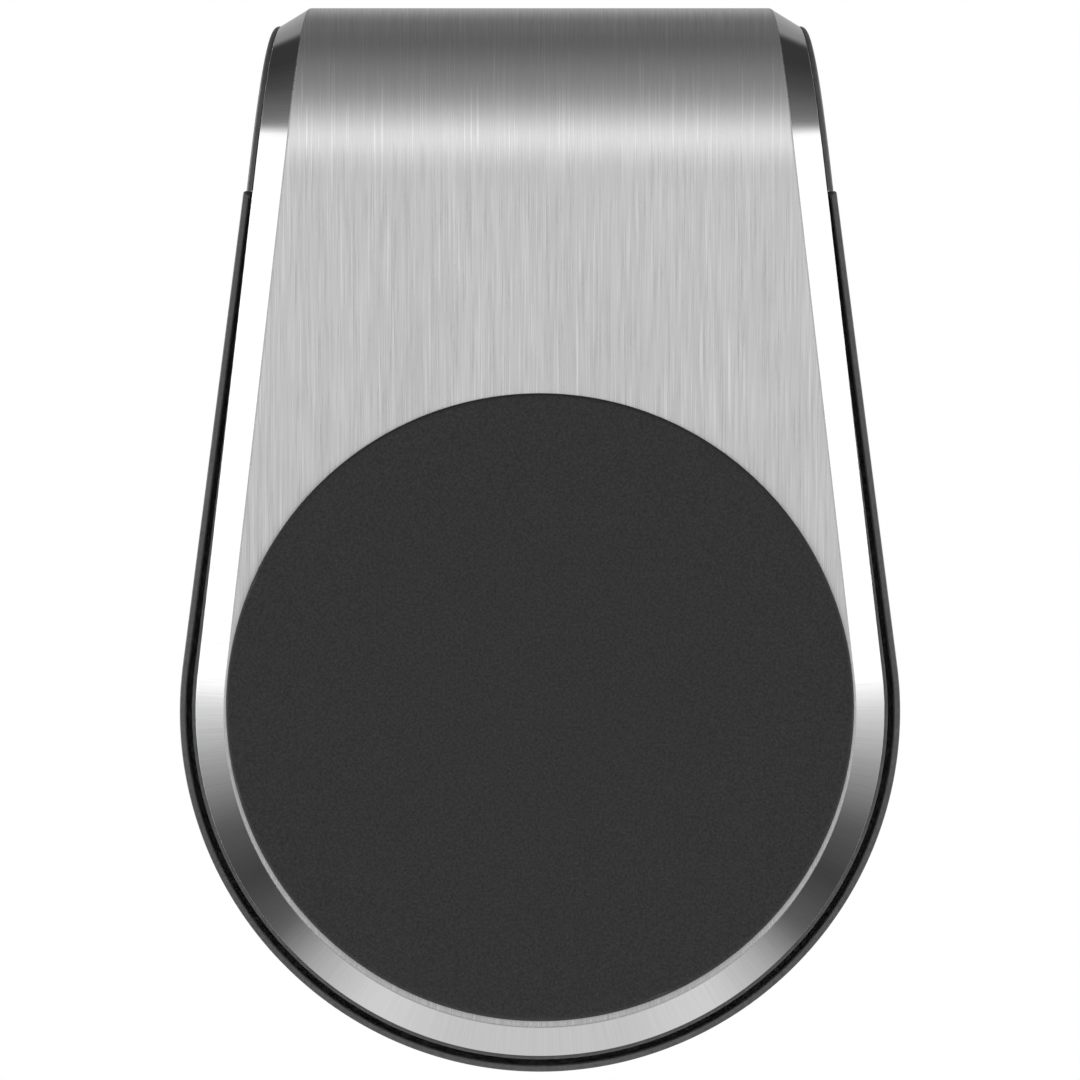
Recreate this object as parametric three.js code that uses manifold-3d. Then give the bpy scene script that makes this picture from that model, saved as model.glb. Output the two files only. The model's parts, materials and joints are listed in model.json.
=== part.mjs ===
// Magnetic phone mount for a car's air vent.
// A teardrop aluminium plate carries a round magnetic pad on its front. The plate's top bends back
// into a short leg, and a sprung lever under that leg clamps a vent blade between two ribbed pads.
//
// Millimetres. +X is to the right seen from the front, +Y runs back into the vent and +Z is up.
// The geometry is drawn with y = 0 on the plate's front face and z = 0 at the centre of its round
// lower end. The exported group is moved so that its origin is the middle of the vent slot.
import * as THREE from "three";
import { mergeVertices } from "three/addons/utils/BufferGeometryUtils.js";
import Module from "manifold-3d";

const wasm = await Module();
wasm.setup();

// ---------------------------------------------------------------- driving dimensions
const degrees = THREE.MathUtils.degToRad;

// Bent metal body
const PLATE_RADIUS = 19.2; // of the round lower end
const PLATE_TAPER = degrees(6.5); // each side leans in by this much
const PLATE_TOP = 39.3; // height of the leg's upper face above the lower end's centre
const METAL_THICKNESS = 1.5;
const BEND_RADIUS = 6.7; // outside of the bend
const BEVEL_WIDTH = 1.6; // polished bevel, seen from the front
const BEVEL_DEPTH = 1;
const LEG_REACH = 25; // front face to the leg's rear end
const LEG_CORNER = 3.2;

// Magnetic pad and what is under it
const PAD_RISE = 0.25; // the pad's centre sits this much above the lower end's centre
const PAD_THICKNESS = 0.7;
const PAD_MARGIN = 0.1; // flat metal left between the pad and the bevel
const PAD_EDGE = 0.2; // rounded rim of the pad
const FILM_THICKNESS = 0.12;
const FILM_INSET = 0.25; // short of the pad's edge
const CARRIER_WALL = 1.2; // outside each magnet
const CARRIER_WEB = 0.3; // between the magnets and the pad
const MAGNET_COUNT = 6;
const MAGNET_RADIUS = 4;
const MAGNET_THICKNESS = 2;
const MAGNET_SPACING = 1.4; // between two neighbouring magnets
const YOKE_THICKNESS = 0.8;

// Plastic frame and leather skin behind the plate
const TAPE_THICKNESS = 0.15;
const TAPE_INSET = 1.2;
const FRAME_OVERHANG = 0.2;
const FRAME_TAPER = degrees(7.1);
const FRAME_THICKNESS = 2.55;
const FRAME_FLOOR = 0.75; // left behind the magnets
const SEAT_HEIGHT = 0.7; // pad of the frame that the bracket stands on
const SEAT_MARGIN = 0.6; // seat around the bracket's foot
const LEATHER_OVERHANG = 0.9;
const LEATHER_TAPER = degrees(7.6);
const LEATHER_THICKNESS = 0.8;
const LEATHER_LIP = 0.4; // thickness of the turned-up edge
const LEATHER_LIP_RISE = 2; // how far the edge comes forward past the skin
const LINING_SEAM = 10.25; // leg's upper face down to the seam between lining and frame

// Rubber lining of the bend and leg
const LINER_THICKNESS = 1.2;
const LINER_OVERHANG = 0.35;
const LINER_SETBACK = 0.4; // short of the leg's rear end
const RIB_HEIGHT = 0.63;
const RIB_WIDTH = 0.8;
const RIB_PITCH = 1.7;
const RIB_INSET = 1; // ribs stay this far in from the pads' sides and ends
const STOP_HEIGHT = 2.4; // bar that a blade's front edge meets
const STOP_WIDTH = 1.5;
const STOP_GAP = 0.5; // from the bar to the lower pad

// Clamping lever
const PIVOT_BEHIND = 2.85; // behind the bracket's foot
const LUG_CLEAR = 0.5; // between the lugs and the jaw's underside
const HUB_WALL = 1.3; // round the hinge pin
const HUB_WIDTH = 1.9;
const JAW_GAP = 0.3; // between the two pads' ribs, closed
const JAW_THICKNESS = 2.1;
const JAW_INSET = 0.7; // lever's side in from the leg's side
const JAW_SETBACK = 1; // lever's end short of the leg's end
const JAW_FRONT = 1.6; // jaw starts this far in front of the pivot
const JAW_PAD_THICKNESS = 1.45;
const JAW_PAD_INSET = 0.5;
const TAIL_LENGTH = 16.5; // pivot to the tail's tip
const TAIL_HALF_WIDTH = 9.8;
const TAIL_THICKNESS = 2;
const TAIL_CORNER = 5.5;
const TAIL_PASS = degrees(5); // fully open, the tail leans this much towards the plate
const TAIL_START = 5.6; // full width begins this far below the pivot
const GRIP_MARGIN = 1.8;
const GRIP_RECESS = 0.5;
const GRIP_PROUD = 0.35;
const GRIP_RIB = 0.4;
const LEVER_OPENING = degrees(26);

// Hinge
const BRACKET_THICKNESS = 1.2;
const BRACKET_FOOT_BELOW = 7.2; // foot's lower edge below the pivot
const LUG_INNER = 9; // half the space between the two lugs
const LUG_WALL = 1.6; // round the hinge pin
const PIN_RADIUS = 1;
const PIN_HEAD_RADIUS = 1.7;
const PIN_HEAD = 0.7;
const RING_RADIUS = 2;
const RING_THICKNESS = 0.45;
const RING_GROOVE = 0.25;
const SPRING_WIRE = 0.35; // radius
const SPRING_CLEAR = 0.5; // from the pin to the coils
const SPRING_TURNS = 3.25;
const SPRING_PITCH = 0.82;
const SPRING_OUTER = 6.2; // half the distance between the two outer legs
const SPRING_LEG = 5;
const SPRING_REACH = 6;

// Fasteners
const SCREW_RADIUS = 0.95;
const SCREW_HEAD_RADIUS = 1.8;
const SCREW_HEAD_DEPTH = 0.9;
const SCREW_LENGTH = 4.4;
const SCREW_X = 5.4;
const SCREW_BELOW = 3.9; // below the pivot
const STANDOFF_RADIUS = 2.1;
const STANDOFF_LENGTH = 2.4;
const STANDOFF_SUNK = 0.8; // pressed into the back of the plate

// Clearances
const SLIP = 0.05; // between pieces that rest on each other
const RUNNING = 0.06; // radial, round the hinge pin
const LOOSE = 0.2; // round pieces dropped into a pocket
const SIDE_PLAY = 0.3; // between the lever's hubs and the lugs

// ---------------------------------------------------------------- derived places
const LEG_UNDER = PLATE_TOP - METAL_THICKNESS;
const BEND_START = PLATE_TOP - BEND_RADIUS;
const TAPER_SLOPE = Math.tan(PLATE_TAPER);
const PAD_RADIUS = PLATE_RADIUS - BEVEL_WIDTH - PAD_MARGIN;
const MAGNET_CIRCLE = (MAGNET_RADIUS + MAGNET_SPACING / 2) / Math.sin(Math.PI / MAGNET_COUNT);
const CARRIER_RADIUS = MAGNET_CIRCLE + MAGNET_RADIUS + CARRIER_WALL;
const WINDOW_RADIUS = CARRIER_RADIUS + LOOSE;
const CARRIER_THICKNESS = CARRIER_WEB + MAGNET_THICKNESS + 2 * SLIP;
const YOKE_FRONT = 2 * SLIP + CARRIER_THICKNESS;
const FRAME_FRONT = METAL_THICKNESS + TAPE_THICKNESS;
const FRAME_BACK = Math.max(
  FRAME_FRONT + FRAME_THICKNESS,
  YOKE_FRONT + YOKE_THICKNESS + SLIP + FRAME_FLOOR,
);
const SEAT_BACK = FRAME_BACK + SEAT_HEIGHT;
const LEATHER_BACK = FRAME_BACK + SLIP + LEATHER_THICKNESS;
const SEAM = PLATE_TOP - LINING_SEAM;
const BRACKET_FRONT = SEAT_BACK + SLIP;
const BRACKET_BACK = BRACKET_FRONT + BRACKET_THICKNESS;
const BRACKET_HALF = LUG_INNER + BRACKET_THICKNESS;
const LINER_UNDER = LEG_UNDER - SLIP - LINER_THICKNESS;
const SLOT_TOP = LINER_UNDER - RIB_HEIGHT;
const SLOT_Z = SLOT_TOP - JAW_GAP / 2;
const JAW_PAD_TOP = SLOT_TOP - JAW_GAP - RIB_HEIGHT;
const STANDOFF_BACK = METAL_THICKNESS - STANDOFF_SUNK + STANDOFF_LENGTH;
const JAW_TOP = JAW_PAD_TOP - JAW_PAD_THICKNESS - SLIP;
const JAW_UNDER = JAW_TOP - JAW_THICKNESS;
const JAW_END = LEG_REACH - JAW_SETBACK;
const LUG_RADIUS = PIN_RADIUS + LUG_WALL;
const HUB_RADIUS = PIN_RADIUS + HUB_WALL;
const PIVOT_Y = BRACKET_BACK + PIVOT_BEHIND;
const PIVOT_Z = JAW_UNDER - LUG_RADIUS - LUG_CLEAR;
const FOOT_LOW = PIVOT_Z - BRACKET_FOOT_BELOW;
const SCREW_Z = PIVOT_Z - SCREW_BELOW;
const STOP_BACK = PIVOT_Y + STOP_WIDTH;
const GRIP_START = STOP_BACK + STOP_GAP;
const SLOT_Y = (GRIP_START + JAW_END) / 2;
const TAIL_ANGLE = LEVER_OPENING - TAIL_PASS; // leans away from the plate at rest
const SPRING_COIL = PIN_RADIUS + SPRING_CLEAR + SPRING_WIRE; // mean radius
const SPRING_RISE = JAW_UNDER - 2 * SLIP - SPRING_WIRE - PIVOT_Z - SPRING_COIL; // of the bridge

// Half-width of the metal strip at a distance along it past the start of the bend.
const stripHalf = (along) =>
  (PLATE_RADIUS - BEND_START * Math.sin(PLATE_TAPER)) / Math.cos(PLATE_TAPER) - along * TAPER_SLOPE;
const BEND_ARC = (BEND_RADIUS * Math.PI) / 2;
// The same on the leg, at a distance y behind the front face.
const legHalf = (y) => stripHalf(BEND_ARC + y - BEND_RADIUS);

// ---------------------------------------------------------------- materials
const finish = (color, roughness, metalness) =>
  new THREE.MeshStandardMaterial({ color, roughness, metalness });
const BRUSHED = finish(0xc4c4c6, 0.35, 1);
const STEEL = finish(0xb0b2b5, 0.3, 1);
const BLACK_STEEL = finish(0x2b2c2e, 0.45, 0.8);
const NICKEL = finish(0xc9c6bf, 0.2, 1);
const SOFT_PAD = finish(0x333333, 0.85, 0);
const RUBBER = finish(0x232324, 0.8, 0);
const LEATHER = finish(0x1d1d1e, 0.6, 0);
const PLASTIC = finish(0x262627, 0.55, 0);
const CARRIER_PLASTIC = finish(0xd8d8d4, 0.6, 0);
const ADHESIVE = finish(0xe6e2d4, 0.7, 0);

// ---------------------------------------------------------------- solids
// A closed geometry as a solid that can be joined and cut.
function solid(geometry) {
  const bare = geometry.clone();
  bare.deleteAttribute("normal");
  bare.deleteAttribute("uv");
  const merged = mergeVertices(bare, 1e-4);
  return new wasm.Manifold(
    new wasm.Mesh({
      numProp: 3,
      vertProperties: merged.attributes.position.array,
      triVerts: new Uint32Array(merged.index.array),
    }),
  );
}

// A solid back as a geometry.
function geometry(made) {
  const mesh = made.getMesh();
  return new THREE.BufferGeometry()
    .setAttribute("position", new THREE.BufferAttribute(mesh.vertProperties, 3))
    .setIndex(new THREE.BufferAttribute(mesh.triVerts, 1));
}

const cut = (base, ...tools) => tools.reduce((left, tool) => left.subtract(tool), base);
const join = (base, ...others) => others.reduce((left, other) => left.add(other), base);

const AXES = {
  // drawn x and y, and the way the outline is pulled
  front: [[1, 0, 0], [0, 0, 1], [0, -1, 0]],
  plan: [[1, 0, 0], [0, 1, 0], [0, 0, 1]],
  side: [[0, 1, 0], [0, 0, 1], [1, 0, 0]],
};

// An outline pulled between two distances: along y for "front", z for "plan" and x for "side".
function pulled(shape, plane, from, to, curveSegments = 32) {
  const made = new THREE.ExtrudeGeometry(shape, {
    depth: to - from,
    bevelEnabled: false,
    curveSegments,
  });
  const [a, b, c] = AXES[plane].map((axis) => new THREE.Vector3(...axis));
  made.applyMatrix4(new THREE.Matrix4().makeBasis(a, b, c));
  const start = plane === "front" ? -to : from;
  return solid(made.translate(...c.multiplyScalar(start)));
}

// A round piece standing on the front plane, between two distances back.
function disc(radius, from, to, x = 0, z = 0, sides = 40) {
  const made = new THREE.CylinderGeometry(radius, radius, to - from, sides);
  return solid(made.translate(x, (from + to) / 2, z));
}

// A round bar along x through the lever's pivot.
function bar(radius, from, to, sides = 28) {
  const made = new THREE.CylinderGeometry(radius, radius, to - from, sides);
  return solid(made.rotateZ(-Math.PI / 2).translate((from + to) / 2, PIVOT_Y, PIVOT_Z));
}

function box(x0, x1, y0, y1, z0, z1) {
  const made = new THREE.BoxGeometry(x1 - x0, y1 - y0, z1 - z0);
  return solid(made.translate((x0 + x1) / 2, (y0 + y1) / 2, (z0 + z1) / 2));
}

// A closed skin over a row of rings with the same number of points: 4, or 6 with a bevelled face.
function skinned(rings) {
  const count = rings[0].length;
  const points = rings.flat();
  const index = [];
  const quad = (a, b, c, d) => index.push(a, b, c, a, c, d);
  for (let r = 0; r + 1 < rings.length; r += 1)
    for (let k = 0; k < count; k += 1) {
      const low = r * count;
      const next = (k + 1) % count;
      quad(low + k, low + next, low + count + next, low + count + k);
    }
  const last = (rings.length - 1) * count;
  const caps = count === 4 ? [[0, 1, 2, 3]] : [[0, 1, 2, 5], [5, 2, 3, 4]];
  for (const [a, b, c, d] of caps) {
    quad(d, c, b, a);
    quad(last + a, last + b, last + c, last + d);
  }
  const made = new THREE.BufferGeometry().setIndex(index);
  const flat = points.flatMap((point) => point.toArray());
  return made.setAttribute("position", new THREE.Float32BufferAttribute(flat, 3));
}

// ---------------------------------------------------------------- outlines
// The teardrop: a round lower end and two straight sides that lean in up to a level top.
function teardrop(radius, taper, top) {
  const half = (radius - top * Math.sin(taper)) / Math.cos(taper);
  const shape = new THREE.Shape();
  shape.moveTo(half, top);
  shape.lineTo(-half, top);
  shape.absarc(0, 0, radius, Math.PI - taper, 2 * Math.PI + taper, false);
  shape.closePath();
  return shape;
}

function roundedRectangle(x0, x1, y0, y1, radius) {
  const shape = new THREE.Shape();
  shape.absarc(x1 - radius, y1 - radius, radius, 0, Math.PI / 2, false);
  shape.absarc(x0 + radius, y1 - radius, radius, Math.PI / 2, Math.PI, false);
  shape.absarc(x0 + radius, y0 + radius, radius, Math.PI, 1.5 * Math.PI, false);
  shape.absarc(x1 - radius, y0 + radius, radius, 1.5 * Math.PI, 2 * Math.PI, false);
  shape.closePath();
  return shape;
}

// Plan of a jaw piece: it follows the leg's leaning sides, and its rear corners are round.
function jawPlan(from, to, inset, corner) {
  const shape = new THREE.Shape();
  const front = legHalf(from) - inset;
  const rear = legHalf(to) - inset;
  shape.moveTo(-front, from);
  shape.lineTo(front, from);
  shape.absarc(rear - corner, to - corner, corner, 0, Math.PI / 2, false);
  shape.absarc(corner - rear, to - corner, corner, Math.PI / 2, Math.PI, false);
  shape.closePath();
  return shape;
}

// Side view of a row of ribs across the slot, standing off a level by a signed height.
function ribRow(level, height) {
  const room = JAW_END - JAW_PAD_INSET - RIB_INSET - GRIP_START - RIB_INSET - RIB_WIDTH;
  const count = Math.floor(room / RIB_PITCH) + 1;
  const ribs = [];
  for (let i = 0; i < count; i += 1) {
    const y = GRIP_START + RIB_INSET + i * RIB_PITCH;
    const low = Math.min(level, level + height) - (height > 0 ? SLIP : 0);
    const high = Math.max(level, level + height) + (height < 0 ? SLIP : 0);
    ribs.push(box(-PLATE_RADIUS, PLATE_RADIUS, y, y + RIB_WIDTH, low, high));
  }
  return join(...ribs);
}

// The space that the ribs of both pads keep to.
function ribZone() {
  const plan = jawPlan(GRIP_START, JAW_END, JAW_INSET + RIB_INSET, LEG_CORNER - RIB_INSET);
  return pulled(plan, "plan", 0, PLATE_TOP, 8);
}

// ---------------------------------------------------------------- metal body
// One ring of the bent strip at an angle round the bend. Points run back, edge, face.
function bevelRing(half, faceHalf, place) {
  const { outer, inner, edge } = place;
  return [
    new THREE.Vector3(half, ...inner),
    new THREE.Vector3(-half, ...inner),
    new THREE.Vector3(-half, ...edge),
    new THREE.Vector3(-faceHalf, ...outer),
    new THREE.Vector3(faceHalf, ...outer),
    new THREE.Vector3(half, ...edge),
  ];
}

function metalBody() {
  const rings = [];
  const faceInset = BEVEL_WIDTH / Math.cos(PLATE_TAPER);
  const faceRadius = PLATE_RADIUS - BEVEL_WIDTH;
  // Round lower end, from its lowest flat up to where the straight sides start.
  const steps = 20;
  const stepAngle = (Math.PI / 2 + PLATE_TAPER) / (steps - 0.5);
  for (let i = 0; i < steps; i += 1) {
    const angle = -Math.PI / 2 + (i + 0.5) * stepAngle;
    const z = PLATE_RADIUS * Math.sin(angle);
    rings.push(
      bevelRing(PLATE_RADIUS * Math.cos(angle), faceRadius * Math.cos(angle), {
        outer: [0, faceRadius * Math.sin(angle)],
        inner: [METAL_THICKNESS, z],
        edge: [BEVEL_DEPTH, z],
      }),
    );
  }
  // The bend, starting at the end of the flat plate.
  const bendSteps = 12;
  const onArc = (radius, angle) => [
    BEND_RADIUS - radius * Math.cos(angle),
    BEND_START + radius * Math.sin(angle),
  ];
  for (let i = 0; i <= bendSteps; i += 1) {
    const angle = ((i / bendSteps) * Math.PI) / 2;
    const half = stripHalf(BEND_RADIUS * angle);
    rings.push(
      bevelRing(half, half - faceInset, {
        outer: onArc(BEND_RADIUS, angle),
        inner: onArc(BEND_RADIUS - METAL_THICKNESS, angle),
        edge: onArc(BEND_RADIUS - BEVEL_DEPTH, angle),
      }),
    );
  }
  // The leg and its rounded rear corners.
  const cornerSteps = 6;
  const cornerY = LEG_REACH - LEG_CORNER;
  const cornerX = legHalf(LEG_REACH) - LEG_CORNER;
  for (let i = 0; i <= cornerSteps; i += 1) {
    const angle = ((i / cornerSteps) * Math.PI) / 2;
    const turn = (radius) => [
      cornerX + radius * Math.cos(angle),
      cornerY + radius * Math.sin(angle),
    ];
    const [half, y] = turn(LEG_CORNER);
    const [faceHalf, faceY] = turn(LEG_CORNER - BEVEL_WIDTH);
    rings.push(
      bevelRing(half, faceHalf, {
        outer: [faceY, PLATE_TOP],
        inner: [y, LEG_UNDER],
        edge: [y, PLATE_TOP - BEVEL_DEPTH],
      }),
    );
  }
  const window = disc(WINDOW_RADIUS, -1, METAL_THICKNESS + 1, 0, PAD_RISE, 64);
  const seats = [-SCREW_X, SCREW_X].map((x) =>
    disc(STANDOFF_RADIUS + SLIP, METAL_THICKNESS - STANDOFF_SUNK, METAL_THICKNESS + 1, x, SCREW_Z, 24),
  );
  return cut(solid(skinned(rings)), window, ...seats);
}

// ---------------------------------------------------------------- magnetic pad
// A disc lying in the xy plane with a rounded rim on its upper side, turned to face the front.
function padSkin() {
  const rim = new THREE.Path();
  rim.moveTo(0, 0);
  rim.lineTo(PAD_RADIUS, 0);
  rim.absarc(PAD_RADIUS - PAD_EDGE, PAD_THICKNESS - PAD_EDGE, PAD_EDGE, 0, Math.PI / 2, false);
  rim.lineTo(0, PAD_THICKNESS);
  return new THREE.LatheGeometry(rim.getPoints(3), 60);
}

function magnetPlaces() {
  const places = [];
  for (let i = 0; i < MAGNET_COUNT; i += 1) {
    const angle = Math.PI / 2 + (i * 2 * Math.PI) / MAGNET_COUNT;
    places.push([MAGNET_CIRCLE * Math.cos(angle), PAD_RISE + MAGNET_CIRCLE * Math.sin(angle)]);
  }
  return places;
}

function magnetCarrier() {
  const front = SLIP;
  const pockets = magnetPlaces().map(([x, z]) =>
    disc(MAGNET_RADIUS + LOOSE / 2, front + CARRIER_WEB, front + CARRIER_THICKNESS + 1, x, z, 28),
  );
  return cut(disc(CARRIER_RADIUS, front, front + CARRIER_THICKNESS, 0, PAD_RISE, 56), ...pockets);
}

// ---------------------------------------------------------------- back of the plate
const screwHoles = (radius, from, to, sides = 24) =>
  [-SCREW_X, SCREW_X].map((x) => disc(radius, from, to, x, SCREW_Z, sides));

function frameTape() {
  const outline = teardrop(PLATE_RADIUS - TAPE_INSET, PLATE_TAPER, SEAM - TAPE_INSET);
  return cut(
    pulled(outline, "front", METAL_THICKNESS, FRAME_FRONT),
    disc(WINDOW_RADIUS + LOOSE, 0, FRAME_BACK, 0, PAD_RISE, 64),
    ...screwHoles(STANDOFF_RADIUS + LOOSE, 0, FRAME_BACK),
  );
}

const seatOutline = (grow) =>
  roundedRectangle(
    -BRACKET_HALF - SEAT_MARGIN - grow,
    BRACKET_HALF + SEAT_MARGIN + grow,
    FOOT_LOW - SEAT_MARGIN - grow,
    SEAM + 3 * grow,
    1.5 + grow,
  );

function rearFrame() {
  const board = pulled(
    teardrop(PLATE_RADIUS + FRAME_OVERHANG, FRAME_TAPER, SEAM),
    "front",
    FRAME_FRONT,
    FRAME_BACK,
  );
  const seat = pulled(seatOutline(0), "front", FRAME_BACK - SLIP, SEAT_BACK, 6);
  const pocketFloor = YOKE_FRONT + YOKE_THICKNESS + SLIP;
  return cut(
    join(board, seat),
    disc(WINDOW_RADIUS + LOOSE, 0, pocketFloor, 0, PAD_RISE, 64),
    ...screwHoles(STANDOFF_RADIUS + LOOSE / 2, 0, STANDOFF_BACK + SLIP),
    ...screwHoles(SCREW_RADIUS + LOOSE, 0, SEAT_BACK + 1, 20),
  );
}

// Leather skin: a shallow tray whose edge is turned forward round the frame.
function leatherBack() {
  const outer = teardrop(PLATE_RADIUS + LEATHER_OVERHANG, LEATHER_TAPER, SEAM - SLIP);
  const inner = teardrop(
    PLATE_RADIUS + LEATHER_OVERHANG - LEATHER_LIP,
    LEATHER_TAPER,
    SEAM + 1,
  );
  const front = FRAME_BACK + SLIP;
  return cut(
    pulled(outer, "front", front - LEATHER_LIP_RISE, LEATHER_BACK, 40),
    pulled(inner, "front", 0, front, 40),
    pulled(seatOutline(LOOSE), "front", 0, LEATHER_BACK + 1, 6),
  );
}

// Rubber lining of the bend and of the leg's underside, with ribs and a stop bar for the blade.
function jawLiner() {
  const rings = [];
  const outerRadius = BEND_RADIUS - METAL_THICKNESS - SLIP;
  const innerRadius = outerRadius - LINER_THICKNESS;
  const ring = (half, outer, inner) =>
    rings.push([
      new THREE.Vector3(half, ...inner),
      new THREE.Vector3(-half, ...inner),
      new THREE.Vector3(-half, ...outer),
      new THREE.Vector3(half, ...outer),
    ]);
  const startZ = SEAM + SLIP;
  const front = METAL_THICKNESS + SLIP;
  ring(
    stripHalf(startZ - BEND_START) + LINER_OVERHANG,
    [front, startZ],
    [front + LINER_THICKNESS, startZ],
  );
  const bendSteps = 12;
  for (let i = 0; i <= bendSteps; i += 1) {
    const angle = ((i / bendSteps) * Math.PI) / 2;
    const onArc = (radius) => [
      BEND_RADIUS - radius * Math.cos(angle),
      BEND_START + radius * Math.sin(angle),
    ];
    ring(stripHalf(BEND_RADIUS * angle) + LINER_OVERHANG, onArc(outerRadius), onArc(innerRadius));
  }
  const end = LEG_REACH - LINER_SETBACK;
  const cornerX = legHalf(end) + LINER_OVERHANG - LEG_CORNER;
  const cornerSteps = 6;
  for (let i = 0; i <= cornerSteps; i += 1) {
    const angle = ((i / cornerSteps) * Math.PI) / 2;
    const y = end - LEG_CORNER + LEG_CORNER * Math.sin(angle);
    const half = cornerX + LEG_CORNER * Math.cos(angle);
    ring(half, [y, LEG_UNDER - SLIP], [y, LINER_UNDER]);
  }
  const ribs = ribRow(LINER_UNDER, -RIB_HEIGHT).intersect(ribZone());
  const stopHalf = legHalf(STOP_BACK) - JAW_INSET - RIB_INSET;
  const stop = box(
    -stopHalf,
    stopHalf,
    PIVOT_Y,
    STOP_BACK,
    LINER_UNDER - STOP_HEIGHT,
    LINER_UNDER + SLIP,
  );
  return join(solid(skinned(rings)), ribs, stop);
}

// ---------------------------------------------------------------- hinge
function hingeBracket() {
  const foot = pulled(
    roundedRectangle(-BRACKET_HALF, BRACKET_HALF, FOOT_LOW, SEAM - SEAT_MARGIN, 1),
    "front",
    BRACKET_FRONT,
    BRACKET_BACK,
    4,
  );
  const lug = new THREE.Shape();
  lug.moveTo(BRACKET_FRONT, FOOT_LOW + 1.2);
  lug.lineTo(BRACKET_BACK, FOOT_LOW + 1.2);
  lug.absarc(PIVOT_Y, PIVOT_Z, LUG_RADIUS, -Math.PI / 3.2, Math.PI / 2, false);
  lug.lineTo(BRACKET_FRONT, PIVOT_Z + LUG_RADIUS);
  lug.closePath();
  const lugTop = SEAM - SEAT_MARGIN - 0.2;
  const rootTrim = box(
    -BRACKET_HALF - 1,
    BRACKET_HALF + 1,
    BRACKET_FRONT - 1,
    BRACKET_BACK - SLIP,
    lugTop,
    PLATE_TOP,
  );
  const lugs = [-BRACKET_HALF, LUG_INNER].map((x) =>
    pulled(lug, "side", x, x + BRACKET_THICKNESS, 14),
  );
  const sinks = [-SCREW_X, SCREW_X].map((x) => {
    const cone = new THREE.CylinderGeometry(
      SCREW_HEAD_RADIUS + 2 * SLIP,
      SCREW_RADIUS + 2 * SLIP,
      SCREW_HEAD_DEPTH,
      24,
    );
    return solid(cone.translate(x, BRACKET_BACK - SCREW_HEAD_DEPTH / 2, SCREW_Z));
  });
  return cut(
    join(foot, ...lugs.map((l) => l.subtract(rootTrim))),
    bar(PIN_RADIUS + RUNNING, -BRACKET_HALF - 1, BRACKET_HALF + 1),
    ...sinks,
    ...screwHoles(SCREW_RADIUS + LOOSE / 2, 0, BRACKET_BACK + 1, 20),
  );
}

const PIN_END = BRACKET_HALF + SLIP + RING_THICKNESS + 0.6;
const RING_X = BRACKET_HALF + 2 * SLIP;

function hingePin() {
  const groove = cut(
    bar(PIN_RADIUS + 1, RING_X - SLIP, RING_X + RING_THICKNESS + SLIP),
    bar(PIN_RADIUS - RING_GROOVE, RING_X - 1, RING_X + RING_THICKNESS + 1, 20),
  );
  return cut(
    join(
      bar(PIN_RADIUS, -BRACKET_HALF - SLIP, PIN_END),
      bar(PIN_HEAD_RADIUS, -BRACKET_HALF - SLIP - PIN_HEAD, -BRACKET_HALF - SLIP),
    ),
    groove,
  );
}

// A snap ring with a mouth on its lower side.
function pinRing() {
  const inner = PIN_RADIUS - RING_GROOVE + SLIP;
  const mouth = box(
    RING_X - 1,
    RING_X + 1,
    PIVOT_Y - inner * 0.8,
    PIVOT_Y + inner * 0.8,
    PIVOT_Z - RING_RADIUS - 1,
    PIVOT_Z,
  );
  return cut(
    bar(RING_RADIUS, RING_X, RING_X + RING_THICKNESS),
    bar(inner, RING_X - 1, RING_X + 1, 20),
    mouth,
  );
}

// Double torsion spring: two outer legs on the bracket's foot, and a bridge under the jaw.
function springPath() {
  const left = [];
  const at = (x, radius, angle) =>
    new THREE.Vector3(x, PIVOT_Y + radius * Math.cos(angle), PIVOT_Z + radius * Math.sin(angle));
  const lean = PIVOT_Y - SPRING_COIL - SPRING_WIRE - 2 * SLIP - BRACKET_BACK;
  for (const share of [1, 0.66, 0.33]) {
    const drop = new THREE.Vector3(0, -share * lean, -share * SPRING_LEG);
    left.push(at(-SPRING_OUTER, SPRING_COIL, Math.PI).add(drop));
  }
  const perTurn = 12;
  const count = Math.round(SPRING_TURNS * perTurn);
  for (let i = 0; i <= count; i += 1) {
    const turned = i / perTurn;
    left.push(at(-SPRING_OUTER + turned * SPRING_PITCH, SPRING_COIL, Math.PI - turned * 2 * Math.PI));
  }
  const last = left[left.length - 1];
  for (const share of [0.25, 0.6, 0.92])
    left.push(
      new THREE.Vector3(last.x, last.y + share * SPRING_REACH, last.z + share * SPRING_RISE),
    );
  left.push(new THREE.Vector3(last.x + 0.5, last.y + SPRING_REACH, last.z + SPRING_RISE));
  const right = left.map((point) => new THREE.Vector3(-point.x, point.y, point.z)).reverse();
  return new THREE.CatmullRomCurve3([...left, ...right], false, "centripetal");
}

function torsionSpring() {
  const wire = new THREE.Shape();
  wire.absarc(0, 0, SPRING_WIRE, 0, 2 * Math.PI, false);
  return new THREE.ExtrudeGeometry(wire, {
    extrudePath: springPath(),
    steps: 120,
    curveSegments: 4,
    bevelEnabled: false,
  });
}

// ---------------------------------------------------------------- lever
// Leans a solid drawn upright under the pivot by the tail's angle.
function leaned(made) {
  const place = new THREE.Matrix4()
    .makeTranslation(0, PIVOT_Y, PIVOT_Z)
    .multiply(new THREE.Matrix4().makeRotationX(TAIL_ANGLE));
  return solid(geometry(made).applyMatrix4(place));
}

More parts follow.
